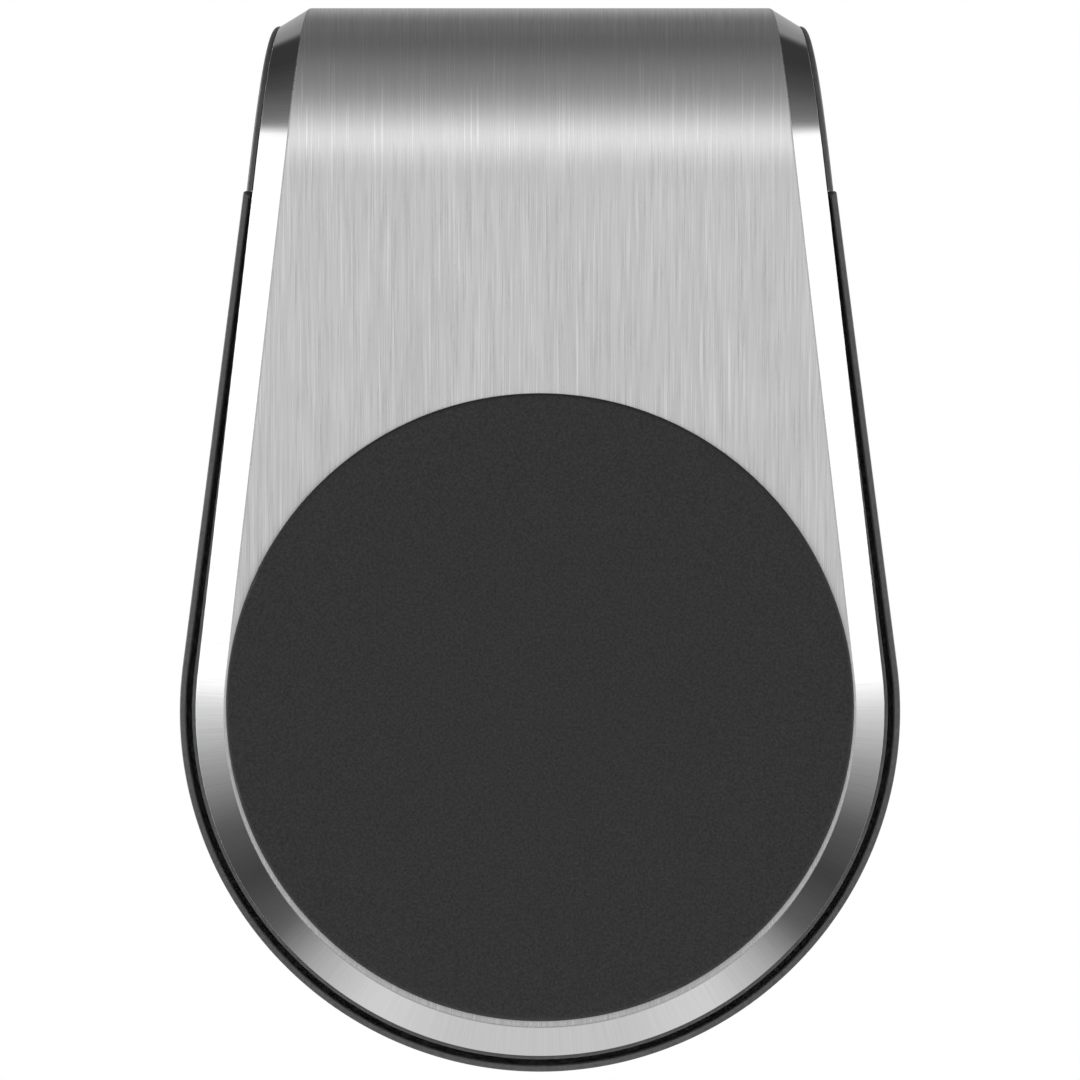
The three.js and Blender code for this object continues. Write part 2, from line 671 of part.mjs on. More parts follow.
// Paddle outline of the tail, drawn with the pivot at its origin.
function paddle(inset) {
  const half = TAIL_HALF_WIDTH - inset;
  const low = -TAIL_LENGTH + inset;
  const shape = new THREE.Shape();
  const corner = TAIL_CORNER - inset;
  shape.absarc(half - 1.5, -TAIL_START - inset - 1.5, 1.5, 0, Math.PI / 2, false);
  shape.absarc(1.5 - half, -TAIL_START - inset - 1.5, 1.5, Math.PI / 2, Math.PI, false);
  shape.absarc(corner - half, low + corner, corner, Math.PI, 1.5 * Math.PI, false);
  shape.absarc(half - corner, low + corner, corner, 1.5 * Math.PI, 2 * Math.PI, false);
  shape.closePath();
  return shape;
}

function clipLever() {
  const front = PIVOT_Y - JAW_FRONT;
  const jaw = pulled(
    jawPlan(front, JAW_END, JAW_INSET, LEG_CORNER),
    "plan",
    JAW_TOP - JAW_THICKNESS,
    JAW_TOP,
    8,
  );
  const hubOuter = LUG_INNER - SIDE_PLAY;
  const hubInner = hubOuter - HUB_WIDTH;
  const cheek = new THREE.Shape();
  cheek.moveTo(front, JAW_TOP - JAW_THICKNESS / 2);
  cheek.absarc(PIVOT_Y, PIVOT_Z, HUB_RADIUS, Math.PI - 0.15, 2 * Math.PI, false);
  cheek.lineTo(PIVOT_Y + HUB_RADIUS + 2.4, JAW_TOP - JAW_THICKNESS / 2);
  cheek.closePath();
  const sides = [-1, 1].map((side) => (side < 0 ? [-hubOuter, -hubInner] : [hubInner, hubOuter]));
  const cheeks = sides.map(([from, to]) => pulled(cheek, "side", from, to, 20));
  const half = TAIL_THICKNESS / 2;
  const arms = sides.map(([from, to]) => leaned(box(from, to, -half, half, -TAIL_START - 1, 0)));
  const tail = leaned(pulled(paddle(0), "front", -half, half, 10));
  const recess = leaned(pulled(paddle(GRIP_MARGIN), "front", half - GRIP_RECESS, half + 1, 10));
  return cut(
    join(jaw, ...cheeks, ...arms, tail),
    recess,
    bar(PIN_RADIUS + RUNNING, -LUG_INNER - 1, LUG_INNER + 1),
  );
}

function lowerJawPad() {
  const end = JAW_END - JAW_PAD_INSET;
  const plan = jawPlan(GRIP_START, end, JAW_INSET + JAW_PAD_INSET, LEG_CORNER - JAW_PAD_INSET);
  const base = pulled(plan, "plan", JAW_TOP + SLIP, JAW_PAD_TOP, 8);
  return join(base, ribRow(JAW_PAD_TOP, RIB_HEIGHT).intersect(ribZone()));
}

// Rubber grip in the tail's recess, drawn upright with the pivot at its origin.
function thumbGrip() {
  const back = TAIL_THICKNESS / 2;
  const outline = paddle(GRIP_MARGIN + SLIP);
  const base = pulled(outline, "front", back - GRIP_RECESS + SLIP, back + GRIP_PROUD, 10);
  const ribs = [];
  const half = TAIL_HALF_WIDTH - GRIP_MARGIN - 1.6;
  for (let z = -TAIL_START - GRIP_MARGIN - 2; z > -TAIL_LENGTH + GRIP_MARGIN + 1.6; z -= RIB_PITCH)
    ribs.push(box(-half, half, back, back + GRIP_PROUD + GRIP_RIB, z - RIB_WIDTH / 2, z + RIB_WIDTH / 2));
  const zone = pulled(paddle(GRIP_MARGIN + 0.8), "front", 0, back + GRIP_PROUD + GRIP_RIB, 10);
  return join(base, join(...ribs).intersect(zone));
}

// ---------------------------------------------------------------- fasteners
// Countersunk screw whose head is flush with the bracket's foot, pointing forward.
function screwGeometry() {
  const tip = BRACKET_BACK - SCREW_LENGTH;
  const outline = [
    [0, tip],
    [SCREW_RADIUS - 0.3, tip],
    [SCREW_RADIUS, tip + 0.3],
    [SCREW_RADIUS, BRACKET_BACK - SCREW_HEAD_DEPTH],
    [SCREW_HEAD_RADIUS, BRACKET_BACK],
    [0, BRACKET_BACK],
  ].map(([radius, y]) => new THREE.Vector2(radius, y));
  const driveDepth = 0.5;
  const bars = [0, Math.PI / 2].map((turn) => {
    const slot = new THREE.BoxGeometry(2.1, 2 * driveDepth, 0.45);
    return solid(slot.rotateY(turn).translate(0, BRACKET_BACK, 0));
  });
  return geometry(cut(solid(new THREE.LatheGeometry(outline, 24)), ...bars));
}

function standoffGeometry() {
  const front = METAL_THICKNESS - STANDOFF_SUNK + SLIP;
  const bore = disc(SCREW_RADIUS + SLIP, front + 0.4, STANDOFF_BACK + 1, 0, 0, 20);
  return geometry(cut(disc(STANDOFF_RADIUS, front, STANDOFF_BACK, 0, 0, 24), bore));
}

// ---------------------------------------------------------------- assembly
const model = new THREE.Group();
model.position.set(0, -SLOT_Y, -SLOT_Z);

function add(name, shape, material, parent = model) {
  const mesh = new THREE.Mesh(shape.isBufferGeometry ? shape : geometry(shape), material);
  mesh.name = name;
  parent.add(mesh);
  return mesh;
}

add("metal_body", metalBody(), BRUSHED);

const pad = add("phone_pad", padSkin(), SOFT_PAD);
pad.rotation.x = Math.PI;
pad.position.set(0, -FILM_THICKNESS, PAD_RISE);
add("pad_adhesive", disc(PAD_RADIUS - FILM_INSET, -FILM_THICKNESS, 0, 0, PAD_RISE, 48), ADHESIVE);
add("magnet_carrier", magnetCarrier(), CARRIER_PLASTIC);
const magnetShape = new THREE.CylinderGeometry(MAGNET_RADIUS, MAGNET_RADIUS, MAGNET_THICKNESS, 28);
magnetPlaces().forEach(([x, z], i) => {
  const magnet = add(`magnet_${i + 1}`, magnetShape, NICKEL);
  magnet.position.set(x, 2 * SLIP + CARRIER_WEB + MAGNET_THICKNESS / 2, z);
});
const yokeBack = YOKE_FRONT + YOKE_THICKNESS;
add("yoke_plate", disc(CARRIER_RADIUS, YOKE_FRONT, yokeBack, 0, PAD_RISE, 56), STEEL);

add("frame_tape", frameTape(), ADHESIVE);
add("rear_frame", rearFrame(), PLASTIC);
add("leather_back", leatherBack(), LEATHER);
add("jaw_liner", jawLiner(), RUBBER);

add("hinge_bracket", hingeBracket(), BLACK_STEEL);
for (const [side, x] of [["left", -SCREW_X], ["right", SCREW_X]]) {
  add(`standoff_${side}`, standoffGeometry(), STEEL).position.set(x, 0, SCREW_Z);
  add(`bracket_screw_${side}`, screwGeometry(), STEEL).position.set(x, 0, SCREW_Z);
}
add("hinge_pin", hingePin(), STEEL);
add("pin_ring", pinRing(), BLACK_STEEL);
add("torsion_spring", torsionSpring(), STEEL);

const lever = new THREE.Group();
model.add(lever);
add("clip_lever", clipLever(), PLASTIC, lever);
add("lower_jaw_pad", lowerJawPad(), RUBBER, lever);
const tailFrame = new THREE.Group();
tailFrame.position.set(0, PIVOT_Y, PIVOT_Z);
tailFrame.rotation.x = TAIL_ANGLE;
lever.add(tailFrame);
add("thumb_grip", thumbGrip(), RUBBER, tailFrame);

const mount = new THREE.Group();
mount.name = "vent_phone_mount";
mount.userData = { leverOpening: LEVER_OPENING, pivot: [0, PIVOT_Y - SLOT_Y, PIVOT_Z - SLOT_Z] };
mount.add(model);

export default mount;
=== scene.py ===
# %% [markdown]
# A magnetic phone mount for a car's air vent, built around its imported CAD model.
# The CAD model fixes every size, place and motion. This lesson gives the mount its looks: a bent
# aluminium plate with a vertical brushed grain and a polished bevel, a soft round pad, a black
# leather back with a stitched border, and a sprung plastic clip with ribbed rubber pads.
# The first lines load the frame. Its box is kept, so that the finished model can be compared.

# %% Load the frame
import json
import math
import random

import bmesh
import bpy
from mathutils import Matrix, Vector


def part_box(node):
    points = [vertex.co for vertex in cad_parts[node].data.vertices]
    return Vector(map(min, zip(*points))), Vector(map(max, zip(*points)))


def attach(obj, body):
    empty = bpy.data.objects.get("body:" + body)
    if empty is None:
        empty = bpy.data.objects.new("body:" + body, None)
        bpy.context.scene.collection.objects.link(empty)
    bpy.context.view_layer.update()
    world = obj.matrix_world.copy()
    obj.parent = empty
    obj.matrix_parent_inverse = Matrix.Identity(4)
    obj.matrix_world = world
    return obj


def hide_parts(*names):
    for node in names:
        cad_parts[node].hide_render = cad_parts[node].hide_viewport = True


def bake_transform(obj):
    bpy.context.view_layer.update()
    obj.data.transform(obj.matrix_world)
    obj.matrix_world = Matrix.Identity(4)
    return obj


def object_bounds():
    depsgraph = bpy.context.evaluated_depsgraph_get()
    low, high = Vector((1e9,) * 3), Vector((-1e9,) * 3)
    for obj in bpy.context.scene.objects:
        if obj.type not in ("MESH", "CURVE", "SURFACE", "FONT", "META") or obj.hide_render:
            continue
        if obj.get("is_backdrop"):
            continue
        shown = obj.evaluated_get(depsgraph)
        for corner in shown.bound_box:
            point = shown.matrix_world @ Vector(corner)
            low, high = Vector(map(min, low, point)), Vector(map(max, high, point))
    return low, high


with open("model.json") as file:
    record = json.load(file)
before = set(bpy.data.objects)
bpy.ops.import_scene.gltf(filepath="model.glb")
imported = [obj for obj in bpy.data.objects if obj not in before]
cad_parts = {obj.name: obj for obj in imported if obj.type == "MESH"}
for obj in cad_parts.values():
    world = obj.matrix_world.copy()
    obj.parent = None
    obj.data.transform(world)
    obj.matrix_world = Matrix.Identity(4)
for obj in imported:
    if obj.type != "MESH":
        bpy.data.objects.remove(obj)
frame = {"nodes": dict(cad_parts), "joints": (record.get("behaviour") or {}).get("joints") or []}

CAD_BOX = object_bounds()
MM = 0.001

# %% [markdown]
# Every place comes from the frame. The mount is easiest to draw from the plate: x to the right,
# y backwards from its front face, and z up from the centre of its round lower end, all in
# millimetres. One function turns such a point into the frame's metres.
# The sizes below are the real ones of each piece, so a bend or a bevel is written only once.

# %% Where things are
FRONT_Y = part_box("metal_body")[0][1]
LEATHER_RADIUS = 20.1
CENTRE_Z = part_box("leather_back")[0][2] + LEATHER_RADIUS * MM


def place(x, y, z):
    """A point drawn from the plate, in millimetres, as a point of the frame."""
    return Vector((x * MM, FRONT_Y + y * MM, CENTRE_Z + z * MM))


def drawn(point):
    """A point of the frame as the millimetres that the plate is drawn in."""
    return point[0] / MM, (point[1] - FRONT_Y) / MM, (point[2] - CENTRE_Z) / MM


PLATE_TOP = drawn(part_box("metal_body")[1])[2]
LEG_REACH = drawn(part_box("metal_body")[1])[1]
HINGE = next(joint for joint in frame["joints"] if joint["name"] == "jaw_hinge")
PIVOT_Y, PIVOT_Z = drawn(HINGE["pos_m"])[1:]
print(f"leg top at {PLATE_TOP:.2f}, leg end at {LEG_REACH:.2f}, pivot at {PIVOT_Y:.2f}, {PIVOT_Z:.2f}")

# %% [markdown]
# The plate, the plastic frame and the leather share one outline: a round lower end whose straight
# sides lean in towards the top. Drawing it with one function keeps their edges parallel, and
# making the same outline a little smaller gives each step of a bevel or a rolled edge.
# Only the right half is drawn. Its mirror image makes the left, so every point has a partner
# straight across, and the flat faces can be filled with a ladder of quads that bends cleanly.

# %% The shared outline
ARC_STEPS = 96
SIDE_STEPS = 150
CORNER_STEPS = 14
SMALLEST_CORNER = 0.02


def outline(radius, taper, top, corner, inset=0.0):
    """Right half of the outline, from the bottom up, as (across, along) pairs."""
    radius, top = radius - inset, top - inset
    corner = max(corner - inset, SMALLEST_CORNER)
    points = []
    step = (math.pi / 2 + taper) / (ARC_STEPS + 0.5)
    for i in range(ARC_STEPS):
        angle = -math.pi / 2 + (i + 0.5) * step
        points.append((radius * math.cos(angle), radius * math.sin(angle)))
    middle = (radius - corner - (top - corner) * math.sin(taper)) / math.cos(taper)
    start = Vector((radius * math.cos(taper), radius * math.sin(taper)))
    end = Vector((middle + corner * math.cos(taper), top - corner + corner * math.sin(taper)))
    for i in range(SIDE_STEPS):
        points.append(tuple(start.lerp(end, i / SIDE_STEPS)))
    for i in range(CORNER_STEPS + 1):
        angle = taper + (math.pi / 2 - taper) * i / CORNER_STEPS
        points.append((middle + corner * math.cos(angle), top - corner + corner * math.sin(angle)))
    return points


def rounded(corners, radii, steps=5):
    """A polyline of (inset, depth) corners with its inner corners rounded."""
    line = [corners[0]]
    for before, here, after, radius in zip(corners, corners[1:], corners[2:], radii):
        here = Vector(here)
        a = here + (Vector(before) - here).normalized() * radius
        b = here + (Vector(after) - here).normalized() * radius
        for i in range(steps + 1):
            t = i / steps
            line.append(tuple(a * (1 - t) ** 2 + here * 2 * t * (1 - t) + b * t**2))
    line.append(corners[-1])
    return line


# %% [markdown]
# Three small builders make the pieces that are drawn here. A loft skins a row of closed rings, a
# turned piece spins a profile round an axis, and a tube follows a path. Each gives one closed mesh.
# Weighted normals then keep the flat faces flat while the thin rounded edges stay smooth, which is
# what makes a machined or moulded edge catch a narrow line of light.

# %% Mesh builders
SAME_POINT = 0.0001 * MM
ON_AXIS = 0.000001
WIRE_END = 0.3


def finished(name, bm):
    """The mesh as an object in the scene, with its faces pointing out."""
    bmesh.ops.remove_doubles(bm, verts=bm.verts, dist=SAME_POINT)
    bmesh.ops.recalc_face_normals(bm, faces=bm.faces)
    mesh = bpy.data.meshes.new(name)
    bm.to_mesh(mesh)
    bm.free()
    piece = bpy.data.objects.new(name, mesh)
    bpy.context.scene.collection.objects.link(piece)
    mesh.polygons.foreach_set("use_smooth", [True] * len(mesh.polygons))
    print(f"{name}: {len(mesh.vertices)} points, {len(mesh.polygons)} faces")
    return piece


def apply_modifiers(piece):
    """Replaces the piece's mesh with what its modifiers make of it."""
    graph = bpy.context.evaluated_depsgraph_get()
    made = bpy.data.meshes.new_from_object(piece.evaluated_get(graph), depsgraph=graph)
    piece.modifiers.clear()
    piece.data = made
    return piece


def flat_faces(piece, angle):
    """Keeps edges sharper than an angle crisp, and weights the normals by face size."""
    piece.data.set_sharp_from_angle(angle=math.radians(angle))
    weighted = piece.modifiers.new("flat faces", "WEIGHTED_NORMAL")
    weighted.keep_sharp = True
    weighted.weight = 80
    return piece


def loft(name, rings, uv=None):
    """Skins rings of points. Each ring runs up its right half and down its left half.

    uv(span, ring, point) may give a texture place. The span is the face's first ring, or None
    for the flat faces that close the ends.
    """
    bm = bmesh.new()
    layer = bm.loops.layers.uv.new("grain") if uv else None
    rows = [[bm.verts.new(point) for point in ring] for ring in rings]
    count = len(rings[0])

    def face(corners, span):
        made = bm.faces.new([rows[r][i] for r, i in corners])
        if uv:
            for loop, (r, i) in zip(made.loops, corners):
                loop[layer].uv = uv(span, r, i)

    last = len(rows) - 1
    for r in range(last):
        for i in range(count):
            j = (i + 1) % count
            face([(r, i), (r, j), (r + 1, j), (r + 1, i)], r)
    for r in (0, last):
        for i in range(count // 2 - 1):
            face([(r, i), (r, i + 1), (r, count - 2 - i), (r, count - 1 - i)], None)
    return finished(name, bm)


def turned(name, profile, to_space, steps):
    """Spins (radius, height) pairs. The profile starts and ends on the axis.

    to_space(a, b, height) gives the point for two distances across the axis and one along it.
    """
    bm = bmesh.new()
    rows = []
    for radius, height in profile:
        ring = steps if radius > ON_AXIS else 1
        turns = [2 * math.pi * i / steps for i in range(ring)]
        rows.append([
            bm.verts.new(to_space(radius * math.cos(t), radius * math.sin(t), height)) for t in turns
        ])
    for low, high in zip(rows, rows[1:]):
        for i in range(steps):
            j = (i + 1) % steps
            loop = [low[i % len(low)], low[j % len(low)], high[j % len(high)], high[i % len(high)]]
            corners = list(dict.fromkeys(loop))
            if len(corners) > 2:
                bm.faces.new(corners)
    return finished(name, bm)


def tube(name, path, radius, sides):
    """A round wire along a path of points, with slightly rounded ends."""
    tangents = []
    for i in range(len(path)):
        before, after = path[max(i - 1, 0)], path[min(i + 1, len(path) - 1)]
        tangents.append((after - before).normalized())
    across = tangents[0].orthogonal().normalized()
    rings = []

    def ring(centre, tangent, size):
        up = tangent.cross(across)
        turns = [2 * math.pi * i / sides for i in range(sides)]
        return [centre + (across * math.cos(t) + up * math.sin(t)) * size for t in turns]

    for i, (point, tangent) in enumerate(zip(path, tangents)):
        across = (across - tangent * across.dot(tangent)).normalized()
        if i == 0:
            rings.append(ring(point - tangent * radius * WIRE_END, tangent, radius * (1 - WIRE_END)))
        rings.append(ring(point, tangent, radius))
        if i == len(path) - 1:
            rings.append(ring(point + tangent * radius * WIRE_END, tangent, radius * (1 - WIRE_END)))
    bm = bmesh.new()
    rows = [[bm.verts.new(point) for point in one] for one in rings]
    for low, high in zip(rows, rows[1:]):
        for i in range(sides):
            j = (i + 1) % sides
            bm.faces.new([low[i], low[j], high[j], high[i]])
    bm.faces.new(list(reversed(rows[0])))
    bm.faces.new(rows[-1])
    return finished(name, bm)


# %% [markdown]
# Materials next. Every finish is worked out from procedural patterns, so it holds at any distance.
# A pattern that several finishes share is a node group with named inputs and outputs.
# This helper adds one node and wires its inputs in a single call, which keeps the recipes short.

# %% Node helpers
def add(tree, kind, inputs=None, **settings):
    """Adds a node, sets its properties and fills its inputs with values or other sockets."""
    made = tree.nodes.new(kind)
    for key, value in settings.items():
        setattr(made, key, value)
    for key, value in (inputs or {}).items():
        if isinstance(value, bpy.types.NodeSocket):
            tree.links.new(value, made.inputs[key])
        else:
            made.inputs[key].default_value = value
    return made


def maths(tree, operation, *values):
    """The result of a Math node."""
    return add(tree, "ShaderNodeMath", dict(enumerate(values)), operation=operation).outputs[0]


def vector_maths(tree, operation, inputs):
    """The result of a Vector Math node."""
    return add(tree, "ShaderNodeVectorMath", inputs, operation=operation).outputs[0]


def clipped(tree, value, low, high, **settings):
    """A value between two limits, stretched to run from 0 to 1."""
    stretched = {"Value": value, "From Min": low, "From Max": high}
    return add(tree, "ShaderNodeMapRange", stretched, **settings).outputs[0]


def ramp(tree, factor, stops):
    """A colour ramp over (position, grey or colour) stops."""
    made = add(tree, "ShaderNodeValToRGB", {"Fac": factor})
    elements = made.color_ramp.elements
    while len(elements) < len(stops):
        elements.new(0.5)
    for element, (position, colour) in zip(elements, stops):
        element.position = position
        grey = not isinstance(colour, (tuple, list))
        element.color = (colour, colour, colour, 1) if grey else (*colour, 1)
    return made.outputs["Color"]


def group(name, inputs, outputs):
    """An empty node group with float or vector sockets, and its input and output nodes."""
    tree = bpy.data.node_groups.new(name, "ShaderNodeTree")
    for label, start in inputs.items():
        kind = "NodeSocketVector" if start is None else "NodeSocketFloat"
        socket = tree.interface.new_socket(label, in_out="INPUT", socket_type=kind)
        if start is not None:
            socket.default_value = start
    for label in outputs:
        tree.interface.new_socket(label, in_out="OUTPUT", socket_type="NodeSocketFloat")
    return tree, tree.nodes.new("NodeGroupInput").outputs, tree.nodes.new("NodeGroupOutput").inputs


def use(tree, shared, **inputs):
    """A shared group placed in a material. Underscores in input names stand for spaces."""
    made = tree.nodes.new("ShaderNodeGroup")
    made.node_tree = shared
    for key, value in inputs.items():
        label = key.replace("_", " ")
        if isinstance(value, bpy.types.NodeSocket):
            tree.links.new(value, made.inputs[label])
        else:
            made.inputs[label].default_value = value
    return made.outputs


# %% [markdown]
# Brushed lines. An abrasive belt leaves grooves of many lengths and depths that all run one way.
# They could be drawn one by one, but stretched noise does it better: very fine across the grain
# and very long along it. Three widths are added, and a fourth layer picks out single bright
# scratches.

# %% Brushed lines group
def make_brushed_lines():
    tree, given, out = group(
        "Brushed Lines",
        {"Place": None, "Across": 6000.0, "Along": 60.0},
        ["Lines", "Scratches", "Height"],
    )
    split = add(tree, "ShaderNodeSeparateXYZ", {0: given["Place"]}).outputs

    def layer(width, length, detail, shift):
        vector = add(tree, "ShaderNodeCombineXYZ", {
            0: maths(tree, "MULTIPLY", split[0], maths(tree, "MULTIPLY", given["Across"], width)),
            1: maths(tree, "MULTIPLY", split[1], maths(tree, "MULTIPLY", given["Along"], length)),
            2: shift,
        }).outputs[0]
        noise = add(tree, "ShaderNodeTexNoise", {
            "Vector": vector, "Scale": 1.0, "Detail": detail, "Roughness": 0.6,
        })
        return noise.outputs["Fac"]

    broad = layer(0.12, 0.4, 2.0, 3.1)
    middle = layer(0.55, 0.9, 1.0, 7.7)
    fine = layer(1.2, 1.6, 1.0, 12.9)
    lines = maths(tree, "ADD", maths(tree, "MULTIPLY", broad, 0.2), maths(tree, "MULTIPLY", middle, 0.3))
    lines = maths(tree, "ADD", lines, maths(tree, "MULTIPLY", fine, 0.5))
    bright = clipped(tree, layer(0.75, 0.8, 1.0, 21.3), 0.6, 0.7)
    tree.links.new(lines, out["Lines"])
    tree.links.new(bright, out["Scratches"])
    tree.links.new(maths(tree, "SUBTRACT", lines, maths(tree, "MULTIPLY", bright, 0.15)), out["Height"])
    return tree


BRUSHED_LINES = make_brushed_lines()

# %% [markdown]
# Fine grain. Moulded plastic, rubber and plated steel all have a faint texture and slow changes of
# gloss from handling. One group gives both: a small grain for the bump, and soft smudges that
# change the roughness. Its sizes are set again in each material.

# %% Fine grain group
def make_fine_grain():
    tree, given, out = group(
        "Fine Grain",
        {"Place": None, "Grain Scale": 9000.0, "Smudge Scale": 180.0},
        ["Grain", "Smudge"],
    )
    grain = add(tree, "ShaderNodeTexNoise", {
        "Vector": given["Place"], "Scale": given["Grain Scale"], "Detail": 3.0, "Roughness": 0.55,
    })
    smudge = add(tree, "ShaderNodeTexNoise", {
        "Vector": given["Place"], "Scale": given["Smudge Scale"], "Detail": 5.0, "Distortion": 0.6,
    })
    tree.links.new(grain.outputs["Fac"], out["Grain"])
    tree.links.new(smudge.outputs["Fac"], out["Smudge"])
    return tree


FINE_GRAIN = make_fine_grain()

# %% [markdown]
# Edge wear. Handling polishes the raised edges of plastic, rubber and painted steel first. On a
# finely built piece the curvature of the mesh marks those edges. On one with large flat faces, the
# rounded edges carry a mark of their own. A coarse noise then breaks the mark up, so that the
# wear comes and goes along an edge and never makes an even outline.

# %% Edge wear group
def make_edge_wear():
    tree, given, out = group(
        "Edge Wear",
        {"Place": None, "Start": 0.54, "End": 0.62, "Patch Scale": 900.0},
        ["Wear"],
    )
    curve = tree.nodes.new("ShaderNodeNewGeometry").outputs["Pointiness"]
    curved = clipped(tree, curve, given["Start"], given["End"])
    marked = add(tree, "ShaderNodeAttribute", attribute_name="worn_edge").outputs["Fac"]
    edge = maths(tree, "MAXIMUM", curved, marked)
    patch = add(tree, "ShaderNodeTexNoise", {
        "Vector": given["Place"], "Scale": given["Patch Scale"], "Detail": 4.0,
    }).outputs["Fac"]
    patch = clipped(tree, patch, 0.38, 0.62)
    tree.links.new(maths(tree, "MULTIPLY", edge, patch), out["Wear"])
    return tree


EDGE_WEAR = make_edge_wear()

# %% [markdown]
# Leather grain. Pressed leather shows small raised pebbles with narrow valleys between them, and
# longer creases through them. A distance-to-edge cell pattern gives the valleys, and a second one
# at another size keeps the pebbles from looking like tiles.

# %% Leather grain group
def make_leather_grain():
    tree, given, out = group("Leather Grain", {"Place": None, "Pebbles": 1500.0}, ["Height", "Valley"])
    wobble = add(tree, "ShaderNodeTexNoise", {
        "Vector": given["Place"], "Scale": 700.0, "Detail": 3.0,
    }).outputs["Color"]
    shift = vector_maths(tree, "SCALE", {0: wobble, "Scale": 0.0006})
    moved = vector_maths(tree, "ADD", {0: given["Place"], 1: shift})
    heights = []
    for share, width in ((1.0, 0.17), (0.47, 0.08)):
        cells = add(tree, "ShaderNodeTexVoronoi", {
            "Vector": moved,
            "Scale": maths(tree, "MULTIPLY", given["Pebbles"], share),
        }, feature="DISTANCE_TO_EDGE")
        distance = cells.outputs["Distance"]
        heights.append(clipped(tree, distance, 0.0, width, interpolation_type="SMOOTHSTEP"))
    both = maths(tree, "MULTIPLY", heights[0], heights[1])
    tree.links.new(both, out["Height"])
    tree.links.new(maths(tree, "SUBTRACT", 1.0, both), out["Valley"])
    return tree


LEATHER_GRAIN = make_leather_grain()


# %% [markdown]
# Each material starts the same way: a Principled shader, the object's own coordinates and a bump.
# The finish's constant values are set on the shader itself, and only what changes over the surface
# is wired in.

# %% Material starter
def material(name, **constants):
    """A new material, its node tree, its shader and the object coordinates."""
    made = bpy.data.materials.new(name)
    made.use_nodes = True
    tree = made.node_tree
    shader = tree.nodes["Principled BSDF"]
    for key, value in constants.items():
        shader.inputs[key.replace("_", " ")].default_value = value
    coordinates = tree.nodes.new("ShaderNodeTexCoord").outputs["Object"]
    return made, tree, shader, coordinates


def bump(tree, shader, height, strength, distance_mm, **normal):
    """Wires a height into the shader's normal. Another starting normal is given as Normal."""
    made = add(tree, "ShaderNodeBump", {
        "Height": height, "Strength": strength, "Distance": distance_mm * MM, **normal,
    })
    tree.links.new(made.outputs[0], shader.inputs["Normal"])


def blend_colours(tree, factor, first, second):
    """A mix of two colours by a mask."""
    made = add(tree, "ShaderNodeMix", data_type="RGBA")
    tree.links.new(factor, made.inputs["Factor"])
    for label, colour in (("A", first), ("B", second)):
        socket = [one for one in made.inputs if one.name == label and one.type == "RGBA"][0]
        if isinstance(colour, bpy.types.NodeSocket):
            tree.links.new(colour, socket)
        else:
            socket.default_value = (*colour, 1)
    return [one for one in made.outputs if one.type == "RGBA"][0]


def from_to(tree, factor, low, high):
    """A 0 to 1 mask as a value between two limits."""
    return add(tree, "ShaderNodeMapRange", {"Value": factor, "To Min": low, "To Max": high}).outputs[0]


# %% [markdown]
# Brushed aluminium. Its grooves run up the plate, so light spreads sideways and the bend at the
# top shows soft level bands. That is an anisotropic reflection: the shader gets a tangent across
# the grain from the mesh's grain map, in which U runs across the grooves.
# The lines change the colour and the roughness a little. Each one also leans by up to half a degree
# up or down its length, which breaks the level bands at the bend into ragged streaks.

# %% Brushed metal
GRAIN_LEAN = 0.009


def follow_grain(tree, shader):
    """Turns the shader's reflection to the grain map, and gives the map's coordinates."""
    tangent = add(tree, "ShaderNodeTangent", direction_type="UV_MAP", uv_map="grain").outputs[0]
    tree.links.new(tangent, shader.inputs["Tangent"])
    return add(tree, "ShaderNodeUVMap", uv_map="grain").outputs[0]


def brushed_metal():
    made, tree, shader, _ = material("brushed aluminium", Metallic=1.0, Anisotropic=0.82)
    grain = follow_grain(tree, shader)
    lines = use(tree, BRUSHED_LINES, Place=grain, Across=22000.0, Along=170.0)
    tone = clipped(tree, lines["Lines"], 0.38, 0.62)
    base = ramp(tree, tone, [(0.0, (0.73, 0.73, 0.735)), (1.0, (0.86, 0.86, 0.865))])
    colour = blend_colours(tree, lines["Scratches"], base, (0.96, 0.96, 0.965))
    tree.links.new(colour, shader.inputs["Base Color"])
    tree.links.new(from_to(tree, tone, 0.27, 0.36), shader.inputs["Roughness"])
    normal = tree.nodes.new("ShaderNodeNewGeometry").outputs["Normal"]
    along = vector_maths(tree, "CROSS_PRODUCT", {0: normal, 1: (1, 0, 0)})
    lean = from_to(tree, tone, -GRAIN_LEAN, GRAIN_LEAN)
    lean = vector_maths(tree, "SCALE", {0: along, "Scale": lean})
    leaning = vector_maths(tree, "ADD", {0: normal, 1: lean})
    leaning = vector_maths(tree, "NORMALIZE", {0: leaning})
    bump(tree, shader, lines["Height"], 0.12, 0.01, Normal=leaning)
    return made


BRUSHED_METAL = brushed_metal()

# %% [markdown]
# The polished bevel. A diamond cutter takes the edge off after brushing and leaves it bright, with
# hair-fine tool marks across its width. The same line group makes them, running the other way,
# with a much smoother surface under them.

# %% Polished bevel
def polished_bevel():
    made, tree, shader, place_on = material("polished bevel", Metallic=1.0, Anisotropic=0.35)
    grain = follow_grain(tree, shader)
    lines = use(tree, BRUSHED_LINES, Place=grain, Across=14000.0, Along=180.0)
    smudge = use(tree, FINE_GRAIN, Place=place_on, Smudge_Scale=260.0)["Smudge"]
    base = ramp(tree, lines["Lines"], [(0.35, (0.86, 0.86, 0.865)), (0.65, (0.93, 0.93, 0.935))])
    tree.links.new(base, shader.inputs["Base Color"])
    tree.links.new(from_to(tree, smudge, 0.07, 0.15), shader.inputs["Roughness"])
    bump(tree, shader, lines["Height"], 0.06, 0.004)
    return made


POLISHED_BEVEL = polished_bevel()

